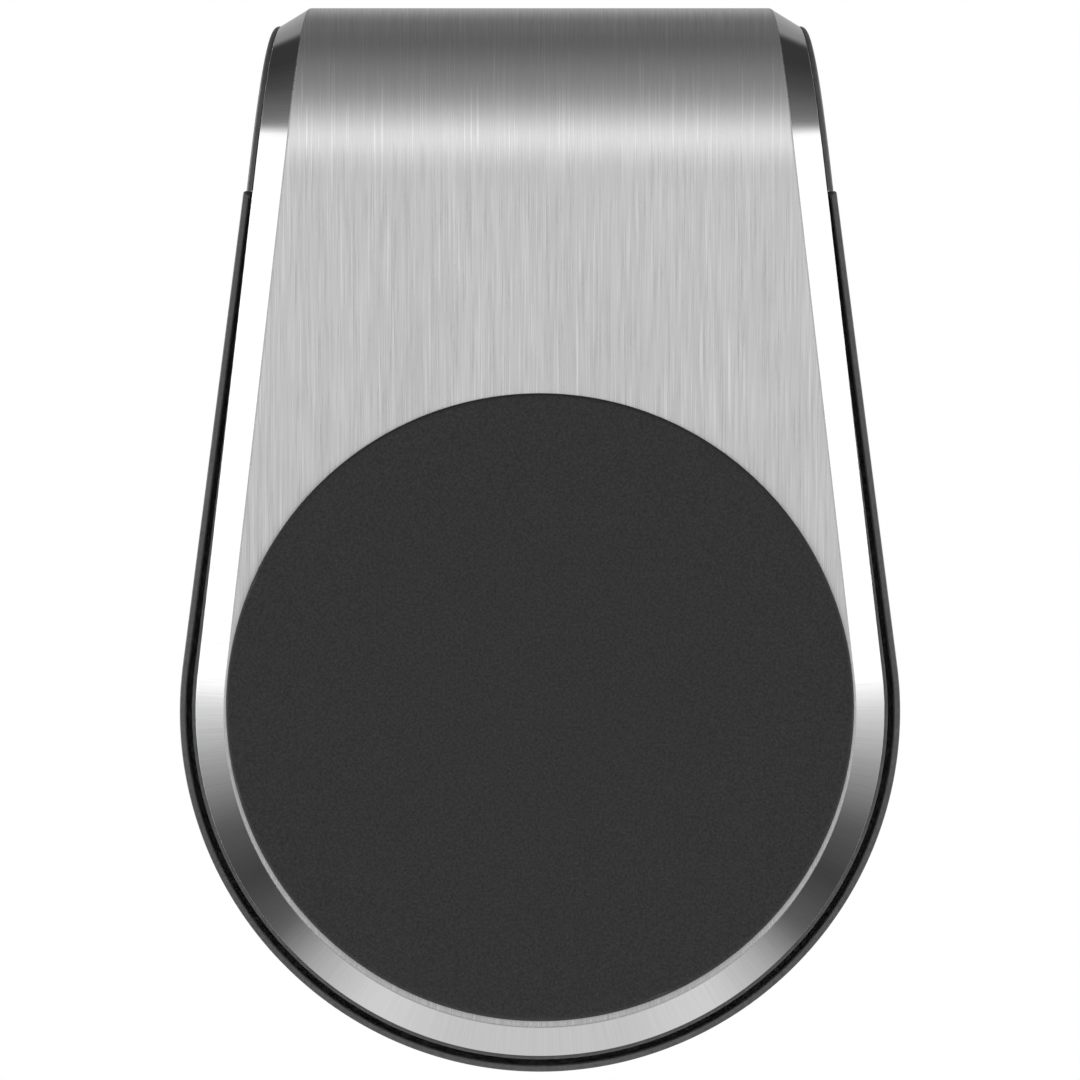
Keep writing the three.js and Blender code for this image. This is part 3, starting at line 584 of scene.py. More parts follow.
# %% [markdown]
# Soft and dark finishes. The pad is a charcoal foam skin with an even, very fine tooth. The jaw
# rubber is darker, with a little bloom and polished edges. The clip is black plastic with a spark
# texture, the inner frame is dark grey, and the bracket is black plated steel. They share the grain
# and wear groups. A piece copied from the CAD wears only where its rounded edges are marked.

# %% Dark finishes
BY_CURVE = (0.54, 0.62)
BY_MARK_ONLY = (2, 3)


def dark_finish(
    name, colour, worn, roughness, grain_scale, relief_mm, strength, wear=BY_CURVE, tooth=0.4
):
    """A black moulded finish: grain in the bump, smudges in the gloss, worn edges in the colour."""
    made, tree, shader, place_on = material(name)
    grain = use(tree, FINE_GRAIN, Place=place_on, Grain_Scale=grain_scale, Smudge_Scale=210.0)
    worn_edge = use(tree, EDGE_WEAR, Place=place_on, Start=wear[0], End=wear[1])["Wear"]
    shade = from_to(tree, grain["Grain"], 1 - tooth, 1 + tooth)
    plain = vector_maths(tree, "SCALE", {0: colour, "Scale": shade})
    tree.links.new(blend_colours(tree, worn_edge, plain, worn), shader.inputs["Base Color"])
    gloss = from_to(tree, grain["Smudge"], roughness - 0.08, roughness + 0.08)
    gloss = maths(tree, "SUBTRACT", gloss, maths(tree, "MULTIPLY", worn_edge, 0.12))
    tree.links.new(gloss, shader.inputs["Roughness"])
    bump(tree, shader, grain["Grain"], strength, relief_mm)
    return made, shader


PAD_SKIN, pad_shader = dark_finish(
    "soft pad skin", colour=(0.034, 0.034, 0.0345), worn=(0.07, 0.07, 0.072),
    roughness=0.82, grain_scale=7000.0, relief_mm=0.02, strength=0.35, tooth=0.75,
)
pad_shader.inputs["Specular IOR Level"].default_value = 0.3
JAW_RUBBER, rubber_shader = dark_finish(
    "jaw rubber", colour=(0.022, 0.022, 0.023), worn=(0.06, 0.06, 0.062),
    roughness=0.68, grain_scale=3800.0, relief_mm=0.02, strength=0.3,
)
rubber_shader.inputs["Specular IOR Level"].default_value = 0.4
BLACK_PLASTIC, _ = dark_finish(
    "black plastic", colour=(0.03, 0.03, 0.031), worn=(0.075, 0.075, 0.077),
    roughness=0.43, grain_scale=3300.0, relief_mm=0.018, strength=0.4, wear=BY_MARK_ONLY,
)
FRAME_PLASTIC, _ = dark_finish(
    "grey frame plastic", colour=(0.1, 0.1, 0.102), worn=(0.13, 0.13, 0.132),
    roughness=0.5, grain_scale=3300.0, relief_mm=0.018, strength=0.3, wear=BY_MARK_ONLY,
)
BLACK_STEEL, steel_shader = dark_finish(
    "black plated steel", colour=(0.035, 0.036, 0.038), worn=(0.2, 0.2, 0.205),
    roughness=0.38, grain_scale=7000.0, relief_mm=0.006, strength=0.2, wear=BY_MARK_ONLY,
)
steel_shader.inputs["Metallic"].default_value = 0.55

# %% [markdown]
# Leather. The skin is dyed right through. Its low places are painted nearly black as shade in the
# valleys, and are a little duller. Its pebbles are a dark grey, and paler where hands have rubbed them.

# %% Leather
def black_leather():
    made, tree, shader, place_on = material("black leather", Specular_IOR_Level=0.8)
    pebbles = use(tree, LEATHER_GRAIN, Place=place_on, Pebbles=1750.0)
    grain = use(tree, FINE_GRAIN, Place=place_on, Grain_Scale=6000.0, Smudge_Scale=120.0)
    tone = ramp(tree, grain["Smudge"], [(0.3, (0.022, 0.022, 0.022)), (0.7, (0.038, 0.038, 0.039))])
    # Painted shade: the valleys between the pebbles are darkened to nearly black.
    colour = blend_colours(tree, from_to(tree, pebbles["Valley"], 0, 0.45), tone, (0.01, 0.01, 0.01))
    worn = use(tree, EDGE_WEAR, Place=place_on, Start=0.53, End=0.6)["Wear"]
    colour = blend_colours(tree, maths(tree, "MULTIPLY", worn, 0.3), colour, (0.07, 0.07, 0.07))
    tree.links.new(colour, shader.inputs["Base Color"])
    gloss = maths(tree, "ADD", from_to(tree, grain["Smudge"], 0.36, 0.5),
                  maths(tree, "MULTIPLY", pebbles["Valley"], 0.06))
    tree.links.new(gloss, shader.inputs["Roughness"])
    relief = maths(tree, "ADD", pebbles["Height"], maths(tree, "MULTIPLY", grain["Grain"], 0.2))
    bump(tree, shader, relief, 0.6, 0.05)
    return made


BLACK_LEATHER = black_leather()

# %% [markdown]
# The cut edges of the leather and of the lining are painted with a thick edge dye, as on a belt.
# It dries smooth. Its colour, a little lighter than the skin, is also a painted highlight for the
# light along the rounded rim, so the rim round the metal shows as a fine dark grey line beside the
# black gap.

# %% Edge dye and painted highlight
# Painted highlight: the dye's grey is lighter than the leather, standing for the light along the rim.
EDGE_DYE_AND_HIGHLIGHT, dye_and_highlight_shader = dark_finish(
    "edge dye and painted highlight", colour=(0.075, 0.075, 0.076), worn=(0.1, 0.1, 0.101),
    roughness=0.5, grain_scale=4200.0, relief_mm=0.02, strength=0.45, tooth=0.5,
)
dye_and_highlight_shader.inputs["Specular IOR Level"].default_value = 0.45


def give_dye_and_highlight(piece, is_edge):
    """Gives the second material to the faces whose centre, drawn from the plate, is on the edge."""
    for face in piece.data.polygons:
        face.material_index = int(is_edge(*drawn(face.center)))

# %% [markdown]
# Bright metals and the pale inner pieces. Zinc-plated steel is slightly cloudy, nickel is warmer
# and smoother, and spring wire keeps the drawn lines of its making. The magnet carrier and the
# adhesive are pale plastics. Most of these are hidden, but they show when the mount is taken apart.

# %% Bright and pale finishes
def plain_finish(name, dark, light, roughness, metallic=0.0, grain_scale=5000.0, relief_mm=0.004):
    """A finish that goes slowly from a darker to a lighter tone, with a faint grain."""
    made, tree, shader, place_on = material(name, Metallic=metallic)
    grain = use(tree, FINE_GRAIN, Place=place_on, Grain_Scale=grain_scale, Smudge_Scale=420.0)
    colour = ramp(tree, grain["Smudge"], [(0.32, dark), (0.68, light)])
    tree.links.new(colour, shader.inputs["Base Color"])
    tree.links.new(from_to(tree, grain["Smudge"], roughness - 0.07, roughness + 0.09),
                   shader.inputs["Roughness"])
    bump(tree, shader, grain["Grain"], 0.25, relief_mm)
    return made


PLATED_STEEL = plain_finish("zinc plated steel", (0.5, 0.51, 0.53), (0.64, 0.65, 0.67), 0.27, 1.0)
NICKEL = plain_finish("nickel plating", (0.6, 0.57, 0.52), (0.7, 0.67, 0.62), 0.16, 1.0)
WIRE_STEEL = plain_finish(
    "spring wire", (0.42, 0.42, 0.43), (0.58, 0.58, 0.59), 0.24, 1.0, grain_scale=3000.0
)
PALE_PLASTIC = plain_finish("natural plastic", (0.66, 0.66, 0.63), (0.72, 0.72, 0.69), 0.5)
ADHESIVE = plain_finish("adhesive film", (0.62, 0.59, 0.5), (0.7, 0.67, 0.58), 0.6)
THREAD = plain_finish(
    "bonded thread", (0.03, 0.03, 0.031), (0.055, 0.055, 0.056), 0.62,
    grain_scale=9000.0, relief_mm=0.02,
)


def dress(piece, body, slot, *materials, replaces=()):
    """Gives a piece its materials and its body, and hides the CAD nodes that it stands for. The slot is
    not used.
    """
    for one in materials:
        piece.data.materials.append(one)
    if replaces:
        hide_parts(*replaces)
    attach(piece, body)
    return piece


# %% [markdown]
# The bent metal body. It starts as a flat strip: a teardrop lower end and a long tongue that is
# later bent back. Each ring of the strip is the outline at one step of the edge's section, from
# the back face round the side, up the bevel and onto the front face.
# Bending is one table, walked in small steps: the strip tightens gradually into a quarter turn,
# and the rest runs on level as the leg. Looking up every point in it keeps the bevel's width even
# round the bend, as a real press brake does.

# %% The body's strip and bend
PLATE_RADIUS = 19.2
PLATE_TAPER = math.radians(6.5)
METAL_THICKNESS = 1.5
BEND_RADIUS = 6.7
BEVEL_WIDTH = 1.6
BEVEL_DEPTH = 1.0
LEG_CORNER = 3.2
BEND_START = PLATE_TOP - BEND_RADIUS
BEND_ARC = BEND_RADIUS * math.pi / 2
BEND_END = BEND_START + BEND_ARC
STRIP_END = BEND_END + LEG_REACH - BEND_RADIUS
EASE = 6.5
BEND_STEP = 0.01


def bend_table():
    """(back, up, angle) along the strip, for a bend that tightens gradually at its start."""
    first = BEND_START - EASE / 2
    share = (math.pi / 2) / (BEND_END - BEND_START)
    rows = [(0.0, first, 0.0)]
    angle = 0.0
    for i in range(int((BEND_END - first) / BEND_STEP)):
        tight = min((i + 0.5) * BEND_STEP / EASE, 1.0)
        angle = min(angle + share * tight * BEND_STEP, math.pi / 2)
        back, up, _ = rows[-1]
        rows.append((back + math.sin(angle) * BEND_STEP, up + math.cos(angle) * BEND_STEP, angle))
    off_back, off_up = BEND_RADIUS - rows[-1][0], PLATE_TOP - rows[-1][1]
    eased = []
    for i, (back, up, angle) in enumerate(rows):
        done = i / (len(rows) - 1)
        done = done * done * (3 - 2 * done)
        eased.append((back + off_back * done, up + off_up * done, angle))
    print(f"bend closes within {off_back:.3f}, {off_up:.3f} mm")
    return eased


BEND = bend_table()


def bent(across, along, depth):
    """A point of the strip after bending. Depth is measured back from the strip's face."""
    if along >= BEND_END:
        return place(across, BEND_RADIUS + along - BEND_END, PLATE_TOP - depth)
    at = (along - BEND_START + EASE / 2) / BEND_STEP
    if at <= 0:
        return place(across, depth, along)
    low = min(int(at), len(BEND) - 2)
    share = min(at - low, 1.0)
    back, up, angle = (a + (b - a) * share for a, b in zip(BEND[low], BEND[low + 1]))
    return place(across, back + depth * math.cos(angle), up - depth * math.sin(angle))


def strip_half(along):
    """Half the width of the strip at a length along it, above the round end."""
    middle = (PLATE_RADIUS - BEND_START * math.sin(PLATE_TAPER)) / math.cos(PLATE_TAPER)
    return middle - (along - BEND_START) * math.tan(PLATE_TAPER)


def both_sides(half):
    """A right half followed by its mirror image, as one closed ring."""
    return half + [(-across, along) for across, along in reversed(half)]


def running_length(points):
    """How far each point lies along the line through them."""
    run = [0.0]
    for before, after in zip(points, points[1:]):
        run.append(run[-1] + math.dist(before, after))
    return run


# %% Metal body
BACK_START = 2.6
FRONT_END = 2.8
BACK_ROUNDING = 0.18
SIDE_ROUNDING = 0.015
BEVEL_ROUNDING = 0.05


def make_metal_body():
    section = rounded(
        [(BACK_START, METAL_THICKNESS), (0, METAL_THICKNESS), (0, BEVEL_DEPTH), (BEVEL_WIDTH, 0),
         (FRONT_END, 0)],
        [BACK_ROUNDING, SIDE_ROUNDING, BEVEL_ROUNDING],
    )
    flat = [
        both_sides(outline(PLATE_RADIUS, PLATE_TAPER, STRIP_END, LEG_CORNER, inset))
        for inset, _ in section
    ]
    rings = [
        [bent(across, along, depth) for across, along in ring]
        for ring, (_, depth) in zip(flat, section)
    ]
    run = running_length(flat[len(flat) // 2])

    def grain(span, r, i):
        """Across and along the plate on its flat faces, along and across the edge elsewhere."""
        level = span is None or section[span][1] == section[span + 1][1]
        if level:
            return flat[r][i][0] * MM, flat[r][i][1] * MM
        return run[i] * MM, section[r][0] * MM

    piece = loft("metal_body_shell", rings, uv=grain)
    for face in piece.data.polygons:
        rows = {index // len(flat[0]) for index in face.vertices}
        inset = sum(section[r][0] for r in rows) / len(rows)
        deepest = max(section[r][1] for r in rows)
        between = 0.1 < inset < BEVEL_WIDTH - BEVEL_ROUNDING
        on_bevel = len(rows) == 2 and between and deepest < BEVEL_DEPTH + 0.1
        face.material_index = int(on_bevel)
    return piece


metal_body = make_metal_body()

# %% [markdown]
# The magnets sit in a round window behind the pad. The hole is cut with an exact boolean, so its
# wall stays crisp. A cutter is a turned piece that is deleted once it has done its work.

# %% Cutting helper and window
WINDOW_RADIUS = 14.8
PAD_RISE = 0.25


def cut_away(piece, *cutters):
    """Cuts solids out of a piece and removes the cutters."""
    for cutter in cutters:
        cutting = piece.modifiers.new("cut", "BOOLEAN")
        cutting.operation = "DIFFERENCE"
        cutting.solver = "EXACT"
        cutting.object = cutter
    apply_modifiers(piece)
    assert piece.data.polygons, f"nothing is left of {piece.name}"
    for cutter in cutters:
        bpy.data.objects.remove(cutter)
    return piece


def facing_front(x, z):
    """Where a turned piece goes when its axis runs back from a point of the plate."""
    return lambda a, b, depth: place(x + a, depth, z + b)


window = turned(
    "window_cutter",
    [(0, -1), (WINDOW_RADIUS, -1), (WINDOW_RADIUS, 3), (0, 3)],
    facing_front(0, PAD_RISE),
    128,
)
cut_away(metal_body, window)
flat_faces(metal_body, 50)
dress(metal_body, "mount_body", "brushed_metal", BRUSHED_METAL, POLISHED_BEVEL,
      replaces=["metal_body"])

# %% [markdown]
# The pad is a thin round disc with a small rounded rim, stuck to the plate over the magnets. It is
# spun from its section. A very slight dish in the middle is what a soft skin on a flat backing
# shows after use, and it keeps the surface from looking like a drawn circle.

# %% Phone pad
PAD_RADIUS = 17.5
PAD_FRONT = -0.82
PAD_BACK = -0.12
PAD_DISH = 0.02
PAD_ROUNDING = 0.24


def make_phone_pad():
    profile = [(0, PAD_FRONT + PAD_DISH)]
    for step in range(1, 16):
        radius = (PAD_RADIUS - 0.6) * step / 15
        dish = PAD_DISH * math.cos(math.pi / 2 * min(radius / (PAD_RADIUS - 1), 1))
        profile.append((radius, PAD_FRONT + dish))
    for step in range(9):
        angle = math.pi / 2 * step / 8
        radius = PAD_RADIUS - PAD_ROUNDING * (1 - math.sin(angle))
        profile.append((radius, PAD_FRONT + PAD_ROUNDING * (1 - math.cos(angle))))
    for step in range(1, 4):
        profile.append((PAD_RADIUS - 0.02 * step, PAD_BACK - 0.06 + 0.02 * step))
    profile.append((0, PAD_BACK))
    return turned("phone_pad_skin", profile, facing_front(0, PAD_RISE), 240)


phone_pad = flat_faces(make_phone_pad(), 60)
dress(phone_pad, "mount_body", "soft_pad", PAD_SKIN, replaces=["phone_pad"])

# %% [markdown]
# The leather back covers the plastic frame. Its edge is turned forward in a thin lip that shows as
# a dark line round the metal. Behind, the skin is slightly domed over a thin filling, with a
# pressed groove for the stitches. The lip is made by cutting a smaller outline out of the front,
# and a seat is cut out at the top for the bracket.

# %% Leather back
LEATHER_TAPER = math.radians(7.3)
LEATHER_TOP = 29.04
LEATHER_BACK = 5.05
LEATHER_CORNER = 0.15
LEATHER_LIP = 0.4
LIP_FRONT = 2.25
LIP_LEAN = 0.18
LINING_FRONT = 4.25
STITCH_INSET = 1.75
DOME_RISE = 0.2
DOME_REACH = 9
GROOVE_DEPTH = 0.14
GROOVE_WIDTH = 0.34
WELT_RISE = 0.07
WELT_INSET = 0.8
WELT_WIDTH = 0.4


def leather_level(inset):
    """How far back the leather's rear surface lies at a distance in from its edge."""
    dome = DOME_RISE * (1 - max(0.0, 1 - inset / DOME_REACH) ** 2)
    groove = GROOVE_DEPTH * math.exp(-(((inset - STITCH_INSET) / GROOVE_WIDTH) ** 2))
    welt = WELT_RISE * math.exp(-(((inset - WELT_INSET) / WELT_WIDTH) ** 2))
    return LEATHER_BACK + dome - groove + welt


def make_leather_back():
    section = rounded(
        [(LEATHER_LIP + 0.1, LIP_FRONT + 0.22), (LEATHER_LIP - 0.1, LIP_FRONT), (0, LIP_FRONT + LIP_LEAN),
         (0, leather_level(0)), (0.42, leather_level(0.42))],
        [0.05, 0.08, 0.4],
        7,
    )
    insets = [0.5 + 0.1 * i for i in range(24)] + [3 + 0.45 * i for i in range(16)]
    section += [(inset, leather_level(inset)) for inset in insets]
    rings = []
    for inset, depth in section:
        half = outline(LEATHER_RADIUS, LEATHER_TAPER, LEATHER_TOP, LEATHER_CORNER, inset)
        rings.append([place(across, depth, along) for across, along in both_sides(half)])
    return loft("leather_back_cover", rings)


NEAR_MIDDLE = 0.01
CUTTER_STEPS = 8


def solid_between(name, ring, front, back):
    """A straight solid between two depths, used to cut with."""
    return loft(name, [[place(x, depth, z) for x, z in ring] for depth in (front, back)])


def rounded_rectangle(half, low, high, corner):
    """Right half of a rounded rectangle, from the bottom up."""
    points = [(NEAR_MIDDLE, low)]
    for centre, start in ((low + corner, -math.pi / 2), (high - corner, 0)):
        for i in range(CUTTER_STEPS + 1):
            angle = start + math.pi / 2 * i / CUTTER_STEPS
            points.append((half - corner + corner * math.cos(angle), centre + corner * math.sin(angle)))
    points.append((NEAR_MIDDLE, high))
    return points


BRACKET_HALF = 10.2
FOOT_LOW = 21.09
SEAT_GROW = 0.8
SEAT_CORNER = 1.7
leather_back = make_leather_back()
inner = outline(LEATHER_RADIUS - LEATHER_LIP, LEATHER_TAPER, LEATHER_TOP + 1, 0.3)
seat = rounded_rectangle(BRACKET_HALF + SEAT_GROW, FOOT_LOW - SEAT_GROW, LEATHER_TOP + 1.5, SEAT_CORNER)
cut_away(
    leather_back,
    solid_between("lining_cutter", both_sides(inner), 0, LINING_FRONT),
    solid_between("seat_cutter", both_sides(seat), 0, LEATHER_BACK + 2),
)
flat_faces(leather_back, 45)
# The lip's front faces get the edge dye, whose lighter grey is a painted highlight.
give_dye_and_highlight(leather_back, lambda x, y, z: y < LIP_FRONT + 0.4)
dress(leather_back, "mount_body", "black_leather", BLACK_LEATHER, EDGE_DYE_AND_HIGHLIGHT,
      replaces=["leather_back"])

# %% [markdown]
# The stitches. A walking-foot machine leaves short, evenly spaced threads that dip into the leather
# at each hole. Each one is a short bowed tube, a touch uneven in length and angle, set along the
# groove from one end of the seam round the bottom to the other.

# %% Stitching
STITCH_PITCH = 2.9
STITCH_LENGTH = 2.25
THREAD_RADIUS = 0.2
THREAD_BOW = 0.2
THREAD_DIP = 0.1
SEAM_CORNER = 0.6
SEAM_BELOW_TOP = 2.6


def seam_line():
    """Points along the stitch line, down the right side, round and up the left."""
    half = outline(LEATHER_RADIUS, LEATHER_TAPER, LEATHER_TOP, SEAM_CORNER, STITCH_INSET)
    sides = half[: ARC_STEPS + SIDE_STEPS]
    half = [point for point in sides if point[1] < LEATHER_TOP - SEAM_BELOW_TOP]
    return [Vector(point) for point in reversed(half)] + [Vector((-x, z)) for x, z in half]


def make_stitching():
    line = seam_line()
    run = running_length(line)

    def at(distance):
        """The point of the seam at a length along it."""
        i = next(k for k in range(1, len(run)) if run[k] >= min(distance, run[-1]))
        share = (distance - run[i - 1]) / (run[i] - run[i - 1])
        return line[i - 1].lerp(line[i], share)

    chance = random.Random(7)
    count = int(run[-1] / STITCH_PITCH)
    spare = (run[-1] - count * STITCH_PITCH) / 2
    level = leather_level(STITCH_INSET)
    threads = []
    for i in range(count):
        middle = spare + (i + 0.5) * STITCH_PITCH
        length = STITCH_LENGTH * chance.uniform(0.96, 1.04)
        start, end = at(middle - length / 2), at(middle + length / 2)
        side = (end - start).orthogonal().normalized() * chance.uniform(-0.05, 0.05)
        path = []
        for step in range(11):
            share = step / 10
            spot = start.lerp(end, share) + side * (share - 0.5)
            lift = THREAD_BOW * math.sin(math.pi * share) ** 0.6 - THREAD_DIP
            path.append(place(spot[0], level + lift, spot[1]))
        threads.append(tube(f"thread_{i}", path, THREAD_RADIUS * MM, 10))
    with bpy.context.temp_override(
        active_object=threads[0], selected_editable_objects=threads
    ):
        bpy.ops.object.join()
    threads[0].name = "leather_stitching"
    print(count, "stitches over", round(run[-1], 1), "mm")
    return threads[0]


stitching = make_stitching()
dress(stitching, "mount_body", "black_leather", THREAD)

# %% [markdown]
# Rubber pads with moulded ribs. Each pad is drawn in stations along its length. At every station
# the width, the level of each face and the height of the ribs are known, so the pad is one skin
# that rises over each rib. The distance to the nearest edge rounds the rim all the way round.

# %% Pad builder
RIB_WIDTH = 0.8
RIB_PITCH = 1.7
RIB_HEIGHT = 0.63
RIM = 0.22
RIM_STEPS = (0, 0.015, 0.045, 0.09, 0.15, 0.22, 0.3, 0.42)
BAR_STEPS = (-0.012, 0.012, 0.04, 0.09, 0.15, 0.3)
BAR_MARGIN = 0.32
BAR_SHOULDER = 0.14
STATION_PITCH = 0.3
CLOSEST_STATIONS = 0.008


def fillet(distance, radius):
    """How far a rounded rim has fallen at a distance in from the edge."""
    if distance >= radius:
        return 0.0
    return radius - math.sqrt(max(radius**2 - (radius - max(distance, 0)) ** 2, 0))


def raised(distance, height):
    """Height of a raised bar with rounded shoulders at a distance inside its edge."""
    return 0.0 if distance <= 0 else height - min(fillet(distance, BAR_SHOULDER), height)


def stations(start, end, bars):
    """Places along a pad: close together at its ends and at each bar's edges."""
    marks = {start, end}
    for step in RIM_STEPS:
        marks |= {start + step, end - step}
    for low, high in bars:
        for step in BAR_STEPS:
            marks |= {low + step, high - step}
    count = int((end - start) / STATION_PITCH)
    marks |= {start + (end - start) * i / count for i in range(count)}
    kept = []
    for mark in sorted(mark for mark in marks if start <= mark <= end):
        if not kept or mark - kept[-1] > CLOSEST_STATIONS:
            kept.append(mark)
    kept[-1] = end
    return kept


def ribbed_pad(name, marks, half, at, levels, bars, rim=RIM, square_start=False):
    """A pad between two levels, the first given by the distance in from the edge.

    Each bar is (start, end, half width, height) on the second level.
    A square start leaves the first edge unrounded.
    """
    rim_width = RIM_STEPS[-1]
    core = max(bar[2] for bar in bars) + BAR_MARGIN
    ends = sorted({bar[2] - step for bar in bars for step in BAR_STEPS} | {core}, reverse=True)
    inner_part = ends + [ends[-1] * (1 - i / 14.5) for i in range(1, 15)]

    def across(width):
        """Distances from the middle, from the rim inwards. Those on the bars hold still."""
        limit = width - rim_width
        held = min(core, limit - 0.05)
        between = [limit - (limit - held) * share for share in (0.33, 0.66)]
        return [width - step for step in RIM_STEPS] + between + [x * held / core for x in inner_part]

    last = marks[-1]
    rings = []
    for mark in marks:
        width = half(mark)
        from_start = math.inf if square_start else mark - marks[0]
        first, second = [], []
        for x in across(width):
            edge = min(width - x, last - mark, from_start)
            drop = fillet(edge, rim)
            lift = 0.0
            for low, high, bar_half, height in bars:
                lift = max(lift, raised(min(mark - low, high - mark, bar_half - x), height))
            first.append((x, levels[0](width - x) + drop))
            second.append((x, levels[1] - drop + lift))
        right = list(reversed(first)) + second
        rings.append(
            [at(x, mark, level) for x, level in right]
            + [at(-x, mark, level) for x, level in reversed(right)]
        )
    return flat_faces(loft(name, rings), 40)


# %% [markdown]
# The leg gets narrower towards its end, and the jaw with it. Both jaws carry the same ribs, and
# both end in round corners.

# %% Ribs and corners
RIB_INSET = 1.7
RIB_COUNT = 6
GRIP_START = PIVOT_Y + 2
FIRST_RIB = GRIP_START + 1
GRIP_MIDDLE = GRIP_START + 5


def along_of(y):
    """Where a place behind the bend lies along the unbent strip."""
    return BEND_END + y - BEND_RADIUS


def leg_half(y):
    """Half the width of the leg at a distance behind the plate's front face."""
    return strip_half(along_of(y))


def grip_bars(to_mark):
    """The ribs that grip the vent blade, alike on the lining and on the lower pad."""
    bars = []
    for i in range(RIB_COUNT):
        low = to_mark(FIRST_RIB + i * RIB_PITCH)
        bars.append((low, low + RIB_WIDTH, leg_half(GRIP_MIDDLE) - RIB_INSET, RIB_HEIGHT))
    return bars


def with_corner(half, end, corner):
    """A half width that closes in a round corner towards the end."""
    def closing(mark):
        into = mark - (end - corner)
        if into <= 0:
            return half(mark)
        edge = half(end)
        return min(half(mark), edge - corner + math.sqrt(max(corner**2 - into**2, 0.0)))
    return closing


# %% [markdown]
# The jaw liner follows the inside of the bend and the underside of the leg. Its ribs grip the vent
# blade from above, and a taller bar stops the blade. Near the plate it shows past the metal as the
# thin dark edge on both sides of the bend.

# %% Jaw liner
SLIP = 0.05
LINER_THICKNESS = 1.2
LINER_OVERHANG = 0.35
LINER_END = LEG_REACH - 0.4
LINER_SEAM = 0.005
STOP_LENGTH = 1.5
STOP_HEIGHT = 2.4
PAINTED_BACK_TO = 6


def make_jaw_liner():
    outer = METAL_THICKNESS + SLIP
    end = along_of(LINER_END)

    def half(mark):
        return strip_half(mark) + LINER_OVERHANG

    def wrapped(in_from_edge):
        """The rim comes forward beside the metal's edge and hides it."""
        return BEVEL_DEPTH + 0.02 if in_from_edge < LINER_OVERHANG - 0.02 else outer

    stop = along_of(PIVOT_Y)
    stop_half = leg_half(PIVOT_Y + STOP_LENGTH) - RIB_INSET
    bars = grip_bars(along_of) + [(stop, stop + STOP_LENGTH, stop_half, STOP_HEIGHT)]
    marks = stations(LEATHER_TOP + LINER_SEAM, end, [bar[:2] for bar in bars])
    return ribbed_pad(
        "jaw_liner_rubber", marks, with_corner(half, end, LEG_CORNER), bent,
        (wrapped, outer + LINER_THICKNESS), bars, square_start=True,
    )


def on_liner_edge(x, y, z):
    """Whether a face centre lies on the lining's edge beside the plate and the bend."""
    return y < PAINTED_BACK_TO and abs(x) > leg_half(min(y, z - BEND_START)) - 0.02


jaw_liner = make_jaw_liner()
# The lining's edge beside the plate gets the same dye, with its painted highlight.
give_dye_and_highlight(jaw_liner, on_liner_edge)
dress(jaw_liner, "mount_body", "black_rubber", JAW_RUBBER, EDGE_DYE_AND_HIGHLIGHT, replaces=["jaw_liner"])

# %% [markdown]
# The lower jaw pad presses the blade from below, with ribs opposite those of the liner. It rides on
# the lever. The thumb grip is a small ribbed pad let into the tail of the same lever, which leans
# away from the plate, so its points are turned with the tail.

# %% Lower jaw pad
JAW_PAD_LOW = 33.54
JAW_PAD_TOP = 34.99
JAW_PAD_END = 23.5
JAW_PAD_INSET = 1.2
JAW_PAD_CORNER = 2.7


def make_lower_jaw_pad():
    bars = grip_bars(lambda y: y)
    marks = stations(GRIP_START, JAW_PAD_END, [bar[:2] for bar in bars])
    half = with_corner(lambda mark: leg_half(mark) - JAW_PAD_INSET, JAW_PAD_END, JAW_PAD_CORNER)
    return ribbed_pad(
        "lower_jaw_rubber", marks, half, place,
        (lambda edge: JAW_PAD_LOW, JAW_PAD_TOP), bars,
    )


lower_jaw = make_lower_jaw_pad()
dress(lower_jaw, "clip_jaw", "black_rubber", JAW_RUBBER, replaces=["lower_jaw_pad"])

# %% Thumb grip
TAIL_ANGLE = math.radians(21)
GRIP_TOP = 7.45
GRIP_LOW = 14.65
GRIP_HALF = 7.95
GRIP_UNDER = 0.55
GRIP_FACE = 1.35
GRIP_RIM = 0.18
GRIP_RIBS = (9.4, 11.1, 12.8)
GRIP_RIB_HALF = 6.4
GRIP_RIB_HEIGHT = 0.4
TOP_CORNER = 1.4
LOW_CORNER = 3.65


def leaning(x, down, level):
    """A point of the tail, drawn upright below the pivot, in its leaning place."""
    y = level * math.cos(TAIL_ANGLE) + down * math.sin(TAIL_ANGLE)
    z = level * math.sin(TAIL_ANGLE) - down * math.cos(TAIL_ANGLE)
    return place(x, PIVOT_Y + y, PIVOT_Z + z)


def make_thumb_grip():
    def half(mark):
        into = (GRIP_TOP + TOP_CORNER) - mark
        if into > 0:
            return GRIP_HALF - TOP_CORNER + math.sqrt(max(TOP_CORNER**2 - into**2, 0.0))
        return GRIP_HALF

    bars = [
        (middle - RIB_WIDTH / 2, middle + RIB_WIDTH / 2, GRIP_RIB_HALF, GRIP_RIB_HEIGHT)
        for middle in GRIP_RIBS
    ]
    marks = stations(GRIP_TOP, GRIP_LOW, [bar[:2] for bar in bars])
    return ribbed_pad(
        "thumb_grip_rubber", marks, with_corner(half, GRIP_LOW, LOW_CORNER), leaning,
        (lambda edge: GRIP_UNDER, GRIP_FACE), bars, GRIP_RIM,
    )


thumb_grip = make_thumb_grip()
dress(thumb_grip, "clip_jaw", "black_rubber", JAW_RUBBER, replaces=["thumb_grip"])

# %% [markdown]
# Moulded, stamped and machined pieces whose shape the CAD already has in full. Each one is copied,
# its flat faces are merged, and every sharp edge gets the small rounding that a mould or a tumbler
# leaves. Weighted normals keep the faces flat beside the rounded edges.

# %% Rounded copies
MERGE_WITHIN = 0.002 * MM
FLAT_WITHIN = math.radians(1.2)
SHARPER_THAN = math.radians(32)


